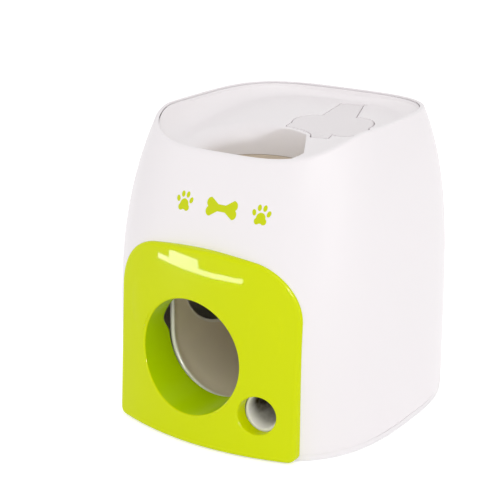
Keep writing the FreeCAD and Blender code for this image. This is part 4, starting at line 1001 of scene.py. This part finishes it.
def chute_run(radius, lip, name):
    """Slanted tube solid whose low end is cut off square to the front and rounded by lip."""
    top = np.array(CHUTE_TOP)
    low = np.array([TREAT_HOLE[0], COLLAR_END_Y, TREAT_HOLE[1]])
    along = (top - low) / np.linalg.norm(top - low)
    spread_out = upright(directions(turn(96)), np.zeros(96))
    reach = radius / np.sqrt(1 - (spread_out @ along) ** 2)
    ends = [(CHUTE_END_Y + abs(below), -inward) for below, inward in quarter_round(lip, 6)][::-1]
    if lip < 0:
        ends = [(CHUTE_END_Y - 4.0, ends[0][1])] + ends
    rows = []
    for y, grow in ends + [(top[1], 0.0)]:
        centre = low + (top - low) * (y - low[1]) / (top[1] - low[1])
        rows.append(centre + spread_out * (reach + grow)[:, None])
    return rows_object(name, rows)


def chute_cup(radius, cup_radius, high_z, name):
    """Upright part of the chute: a round bottom at the elbow, opening out to the cup."""
    middle_z = CHUTE_TOP[2] - radius
    profile = [(radius - below, middle_z + inward) for below, inward in quarter_round(radius, 12)[1:]]
    profile += [(radius, CUP_LOW), (cup_radius, CUP_HIGH), (cup_radius, high_z)]
    return rows_object(name, [level_ring(CHUTE_TOP[:2], r, z, 96) for r, z in profile])


def make_chute(material, inside_material):
    """White tube from under the drum down to the treat collar, on two posts, with a rounded lip."""
    outer = CHUTE_RADIUS + CHUTE_WALL
    chute = chute_run(outer, CHUTE_LIP, "chute")
    x, y, _ = CHUTE_TOP
    slope = (x - TREAT_HOLE[0]) / (y - COLLAR_END_Y)
    front_x = TREAT_HOLE[0] + (POST_Y - COLLAR_END_Y) * slope
    added = [chute_cup(outer, CUP_RADIUS + CHUTE_WALL, CUP_HIGH, "cup")]
    foot = ((9.0, 6.0), BASE_TOP, BASE_TOP + 3.0)
    posts = ((front_x, POST_Y, (3.0, 2.0), 46.0), (x, y, (2.0, 5.0), 72.0))
    for post_x, post_y, post_half, post_top in posts:
        for half, low_z, high_z in (foot, (post_half, BASE_TOP + 0.5, post_top)):
            added.append(block("post", (post_x - half[0], post_y - half[1], low_z),
                               (post_x + half[0], post_y + half[1], high_z)))
    boolean(chute, added, "UNION")
    hollow = [chute_run(CHUTE_BORE, -CHUTE_LIP, "inside"),
              chute_cup(CHUTE_RADIUS, CUP_RADIUS, CUP_HIGH + 5.0, "cup_inside")]
    chute.data.materials.append(material)
    chute.data.materials.append(inside_material)
    for cutter in hollow:
        cutter.data.materials.append(material)
        second_material(cutter, inside_material, np.ones(len(cutter.data.polygons)))
    boolean(chute, hollow, "DIFFERENCE")
    chute.name = "treat_slide"
    inside = [p.material_index for p in chute.data.polygons]
    finish_piece(chute, "casing", "tray_white", material, "treat_chute", angle=30)
    second_material(chute, inside_material, inside)
    return chute


# ---------- generic print on the front
def rounded_union(circles, count, bar=None):
    """Outline of circles (x, z, radius) and a centred bar, seen from the middle."""
    d = directions(turn(count))
    reach = np.max([circle_reach(d, (x, z), radius) for x, z, radius in circles], axis=0)
    if bar:
        reach = np.maximum(reach, polygon_reach(d, centred_box(bar[0], -bar[1], bar[1])))
    return d * reach[:, None]


def print_outlines():
    """A bone between two paws, as plain rounded shapes round the middle of the print."""
    knobs = [(x, z, 3.1) for x in (-8.4, 8.4) for z in (-2.5, 2.5)]
    loops = [rounded_union(knobs, 96, bar=(8.4, 2.1))]
    for side in (-1, 1):
        middle = np.array([side * PRINT_PITCH, 0.0])
        pad = rounded_union([(0.0, 0.6, 3.2), (-2.2, -1.3, 2.0), (2.2, -1.3, 2.0)], 72)
        loops.append(pad + middle + [0.0, -2.2])
        for x, z, lean in ((-5.0, 1.2, 0.35), (-1.9, 4.2, 0.12), (1.9, 4.2, -0.12), (5.0, 1.2, -0.35)):
            toe = directions(turn(40)) * [1.35, 1.9]
            c, t = math.cos(lean), math.sin(lean)
            loops.append(toe @ np.array([[c, t], [-t, c]]) + middle + [x, z])
    return loops


def make_print(material):
    """Thin lime print that lies on the casing's front skin."""
    shape = Shape()
    for loop in print_outlines():
        loop = loop + PRINT_MIDDLE
        rings = [loop - loop_normals(loop) * d for d in (PRINT_EDGE, 0.25)]
        verts, faces = sheet(loop, [], rings, grid_points(loop.min(0), loop.max(0), 1.1, loop, 0.8))
        edge = np.clip(outline_distance(verts, loop) / PRINT_EDGE, 0, 1)
        for lift in (PRINT_GAP, PRINT_THICKNESS):
            thickness = PRINT_GAP + (lift - PRINT_GAP) * np.sqrt(1 - (1 - edge) ** 2)
            shape.add(upright(verts, front_skin_y(verts[:, 0], verts[:, 1]) - thickness), faces)
    ink = new_object("front_print", shape, merge=0.002)
    return finish_piece(ink, "casing", "lime_gloss", material, angle=50)


# ---------- shader nodes
def feed(tree, target, inputs):
    """Fills a node's sockets: each value is a number, a colour or an output to link."""
    for socket, value in inputs.items():
        if isinstance(value, bpy.types.NodeSocket):
            tree.links.new(value, target.inputs[socket])
        else:
            target.inputs[socket].default_value = value
    return target


def node(tree, kind, inputs, **settings):
    """Adds a shader node, its settings made before its sockets are filled."""
    made = tree.nodes.new("ShaderNode" + kind)
    for key, value in settings.items():
        setattr(made, key, value)
    return feed(tree, made, inputs)


def new_material(name):
    material = bpy.data.materials.new(name)
    material.use_nodes = True
    return material, material.node_tree, material.node_tree.nodes["Principled BSDF"]


def seen_directly(tree):
    """One for camera, glossy and transmission rays, nought for the rays that light the object."""
    path = node(tree, "LightPath", {})
    total = path.outputs["Is Camera Ray"]
    for kind in ("Is Glossy Ray", "Is Transmission Ray"):
        total = node(tree, "Math", {0: total, 1: path.outputs[kind]}, operation="MAXIMUM").outputs[0]
    return total


# ---------- camera, lights, stage
def make_camera():
    azimuth, elevation, distance = math.radians(34.27), math.radians(18.33), 933.97
    target = np.array([-20.56, -13.05, 102.39])
    back = np.array([math.sin(azimuth) * math.cos(elevation), -math.cos(azimuth) * math.cos(elevation),
                     math.sin(elevation)])
    data = bpy.data.cameras.new("camera")
    data.lens = 98.55
    data.sensor_width = 36.0
    data.clip_start = 0.05
    data.clip_end = 20.0
    camera = place("camera", data)
    camera.location = to_frame([target + back * distance])[0]
    camera.rotation_mode = "QUATERNION"
    camera.rotation_quaternion = Vector(-back).to_track_quat("-Z", "Y")
    scene.camera = camera


def area_light(name, spot, aim_z, side, power):
    """Square lamp turned towards the middle of the object at that height."""
    data = bpy.data.lights.new(name, "AREA")
    data.size = side
    data.energy = power
    lamp = place(name, data)
    lamp.location = spot
    lamp.rotation_mode = "QUATERNION"
    lamp.rotation_quaternion = (Vector((0, 0, aim_z)) - Vector(spot)).to_track_quat("-Z", "Y")
    return lamp


def make_world():
    """White where it is seen; as light, a soft room that is dimmer overhead than round the sides."""
    sides, top = 0.95, 0.58
    world = bpy.data.worlds.new("studio")
    scene.world = world
    world.use_nodes = True
    tree = world.node_tree
    tree.nodes.clear()
    where = node(tree, "TexCoord", {}).outputs["Generated"]
    up = node(tree, "SeparateXYZ", {0: where}).outputs["Z"]
    level = spread(tree, up, sides, top, 0.15, 0.95)
    light = node(tree, "Background", {"Color": (1.0, 0.985, 0.99, 1), "Strength": level})
    shown = node(tree, "Background", {"Color": (1, 1, 1, 1)})
    mix = node(tree, "MixShader", {0: seen_directly(tree), 1: light.outputs[0], 2: shown.outputs[0]})
    node(tree, "OutputWorld", {0: mix.outputs[0]})


def make_floor():
    """Pale matt floor that takes the object's shadow, lifted to white where it is seen."""
    reach, lift = 6.0, 0.5
    corners = [(x, y, 0) for x, y in centred_box(reach, -reach, reach)]
    floor = place("floor", plain_mesh("floor", corners, [(0, 1, 2, 3)]))
    paint, tree, shader = new_material("floor_paint")
    lifted = node(tree, "Math", {0: seen_directly(tree), 1: lift}, operation="MULTIPLY")
    feed(tree, shader, {"Base Color": (0.93, 0.925, 0.93, 1), "Roughness": 0.95, "Specular IOR Level": 0.0,
                        "Emission Strength": lifted.outputs[0], "Emission Color": (1, 1, 1, 1)})
    floor.data.materials.append(paint)


def make_window_card():
    """Low bright strips at the front left that only the gloss of the front panel shows."""
    distance, drop, growth, count, strength = 400.0, math.radians(12.8), 1.43, 40, 33.0
    card = Shape()
    for first, last, low_z, high_z in ((-57.0, -13.5, 115.3, 118.9), (-50.6, -34.5, 118.9, 126.2)):
        bearings = np.linspace(first, last, count)
        turned = np.radians(bearings)
        x = 53.0 + 1.507 * bearings + distance * math.cos(drop) * np.sin(turned)
        y = -100.0 - distance * math.cos(drop) * np.cos(turned)
        z = (low_z + high_z) / 2 - distance * math.sin(drop)
        half = (high_z - low_z) / 2 * growth
        edges = [np.stack([x, y, np.full(count, z + side * half)], 1) for side in (-1, 1)]
        card.add(np.concatenate(edges), [(i, i + 1, count + i + 1, count + i) for i in range(count - 1)])
    strip = place("window_card", plain_mesh("window_card", to_frame(card.points), card.faces))
    paint, tree, shader = new_material("card_light")
    feed(tree, shader, {"Base Color": (0, 0, 0, 1), "Emission Color": (1, 1, 1, 1),
                        "Emission Strength": strength})
    strip.data.materials.append(paint)
    strip.visible_camera = False
    strip.visible_diffuse = False
    strip.visible_shadow = False


def make_stage():
    scene.view_settings.view_transform = "Standard"
    make_world()
    make_floor()
    area_light("front_left", (-1.15, -1.55, 0.75), 0.1, 1.3, 1.8)
    area_light("right", (1.9, -0.6, 0.6), 0.1, 1.3, 4.0)
    area_light("key", (0.75, -0.95, 1.35), 0.15, 1.1, 4.9)
    make_window_card()


def link_spark(*pieces):
    """A small bright lamp near the camera for the highlights on the rounded edges of these pieces only."""
    lamp = area_light("spark", (1.30, -1.45, 0.66), 0.09, 0.5, 40.0)
    lamp.visible_diffuse = False
    lit = bpy.data.collections.new("spark_lit")
    for piece in pieces:
        lit.objects.link(piece)
    lamp.light_linking.receiver_collection = lit


# ---------- materials
def object_place(tree):
    return node(tree, "TexCoord", {}).outputs["Object"]


def noise(tree, scale, detail, where):
    return node(tree, "TexNoise", {"Scale": scale, "Detail": detail, "Vector": where}).outputs["Fac"]


def two_tone(tree, factor, first, second):
    tones = {"A": (*first, 1), "B": (*second, 1), "Factor": factor}
    return node(tree, "Mix", tones, data_type="RGBA").outputs["Result"]


def spread(tree, value, low, high, from_low=0.3, from_high=0.7, shape="LINEAR"):
    ends = {"From Min": from_low, "From Max": from_high, "To Min": low, "To Max": high, "Value": value}
    return node(tree, "MapRange", ends, interpolation_type=shape).outputs["Result"]


def relief(tree, height, strength):
    return node(tree, "Bump", {"Strength": strength, "Distance": 0.00005, "Height": height}).outputs["Normal"]


def plastic(name, colour, fade, roughness, coat=0.0, specular=0.5, grain=900.0, bump=0.05, polish=0.06):
    """Moulded plastic: flow mottling that darkens by fade, uneven gloss and fine surface grain."""
    material, tree, shader = new_material(name)
    where = object_place(tree)
    flow = noise(tree, 14.0, 3.0, where)
    fine = noise(tree, grain, 2.0, where)
    deep = [max(part - fade, 0.0) for part in colour]
    feed(tree, shader, {"Base Color": two_tone(tree, flow, colour, deep),
                        "Roughness": spread(tree, fine, roughness * 0.88, roughness * 1.12),
                        "Normal": relief(tree, fine, bump), "Specular IOR Level": specular,
                        "Coat Weight": coat, "Coat Roughness": polish})
    return material


def metal(name, colour, deep, roughness, scratch=(60.0, 60.0, 900.0)):
    """Drawn or plated metal: long fine drawing lines and slightly uneven shine."""
    material, tree, shader = new_material(name)
    where = object_place(tree)
    stretch = node(tree, "Mapping", {"Scale": scratch, "Vector": where}).outputs["Vector"]
    lines = noise(tree, 3.0, 4.0, stretch)
    cloud = noise(tree, 120.0, 3.0, where)
    feed(tree, shader, {"Base Color": two_tone(tree, cloud, colour, deep),
                        "Roughness": spread(tree, lines, roughness * 0.7, roughness * 1.3),
                        "Normal": relief(tree, lines, 0.15), "Metallic": 1.0})
    return material


def painted_shade_plastic():
    """White plastic inside the chute with painted shade: near white at the lip, darkened towards a near-black
    brown further in and higher up, unevenly.
    """
    lit_white, shade_tone = (0.88, 0.85, 0.86), (0.036, 0.022, 0.002)
    material = plastic("chute_painted_shade", lit_white, 0.0, 0.5, specular=0.08)
    tree = material.node_tree
    where = object_place(tree)
    parts = node(tree, "SeparateXYZ", {0: where})
    shade_start_y = (CHUTE_END_Y + MIDDLE_Y) * MM
    shade_low, shade_high = (TREAT_HOLE[1] - 9.0) * MM, (TREAT_HOLE[1] + 4.0) * MM
    # painted shade: the dark tone grows over the first 8.5 mm into the chute, and more higher up, with random
    # unevenness
    total = spread(tree, parts.outputs["Y"], 0.0, 1.0, shade_start_y, shade_start_y + 0.0085, "SMOOTHSTEP")
    upward = spread(tree, parts.outputs["Z"], 0.6, 1.0, shade_low, shade_high, "SMOOTHSTEP")
    uneven = spread(tree, noise(tree, 220.0, 4.0, where), 0.85, 1.1)
    for part in (upward, uneven):
        total = node(tree, "Math", {0: total, 1: part}, operation="MULTIPLY", use_clamp=True).outputs[0]
    feed(tree, tree.nodes["Principled BSDF"], {"Base Color": two_tone(tree, total, lit_white, shade_tone)})
    return material


def make_materials():
    fine = {"grain": 2600.0, "bump": 0.03}
    lime = {"coat": 0.2, "specular": 0.02, "grain": 2600.0, "bump": 0.02}
    return {
        "white_gloss": plastic("white_abs", (0.915, 0.885, 0.897), 0.01, 0.34, coat=0.12, **fine),
        "tray_white": plastic("tray_abs", (0.92, 0.89, 0.90), 0.01, 0.36, coat=0.12, **fine),
        # painted shade: the lid is a darker copy of the tray's white
        "lid_white": plastic("lid_abs_shade", (0.86, 0.825, 0.835), 0.01, 0.38, coat=0.1, **fine),
        # chute_inside: white with painted shade deep inside the treat chute
        "chute_inside": painted_shade_plastic(),
        "base_white": plastic("base_abs", (0.92, 0.90, 0.91), 0.02, 0.5, bump=0.1),
        "lime_gloss": plastic("lime_abs", (0.675, 0.77, 0.0), 0.01, 0.25, polish=0.012, **lime),
        # painted shade: darker, greener copy of the lime for the ball tunnel's deep wall
        "lime_tunnel": plastic("lime_abs_bore_shade", (0.49, 0.70, 0.0), 0.02, 0.25, polish=0.05, **lime),
        "print_ink": plastic("lime_ink", (0.62, 0.70, 0.0), 0.02, 0.45, specular=0.2, bump=0.1),
        # painted highlight: lighter, glossier copy of the cream plastic for the scoop's rolled bead
        "cream_edge": plastic("warm_white_edge_highlight", (0.93, 0.89, 0.83), 0.02, 0.25, coat=0.5),
        "cream_plastic": plastic("warm_white_pp", (0.80, 0.70, 0.58), 0.03, 0.42, bump=0.1),
        "acetal": plastic("acetal", (0.86, 0.86, 0.8), 0.04, 0.4),
        "rubber_grey": plastic("grey_rubber", (0.075, 0.075, 0.08), 0.025, 0.75, bump=1.0, grain=1600.0),
        "steel": metal("bright_steel", (0.62, 0.62, 0.63), (0.54, 0.54, 0.56), 0.22),
        "spring_steel": metal("spring_steel", (0.42, 0.42, 0.43), (0.34, 0.34, 0.36), 0.3),
        "zinc_screw": metal("zinc_plate", (0.72, 0.72, 0.7), (0.62, 0.63, 0.64), 0.33, (200, 200, 200)),
    }


make_camera()
make_stage()
paints = make_materials()
make_casing(paints["white_gloss"])
panel = make_front_panel(paints["lime_gloss"], paints["lime_tunnel"])
make_top_tray(paints["tray_white"])
make_lid(paints["lid_white"])
trough = make_scoop(paints["cream_plastic"], paints["cream_edge"])
make_drop_tube(paints["cream_plastic"])
slide = make_chute(paints["tray_white"], paints["chute_inside"])
make_print(paints["print_ink"])
link_spark(panel, trough, slide)

slots = {part["node"]: part["material_slot"] for part in frame["record"]["subparts"]}
for name, cad_node in frame["nodes"].items():
    cad_node.data.materials.clear()
    cad_node.data.materials.append(paints[slots[name]])
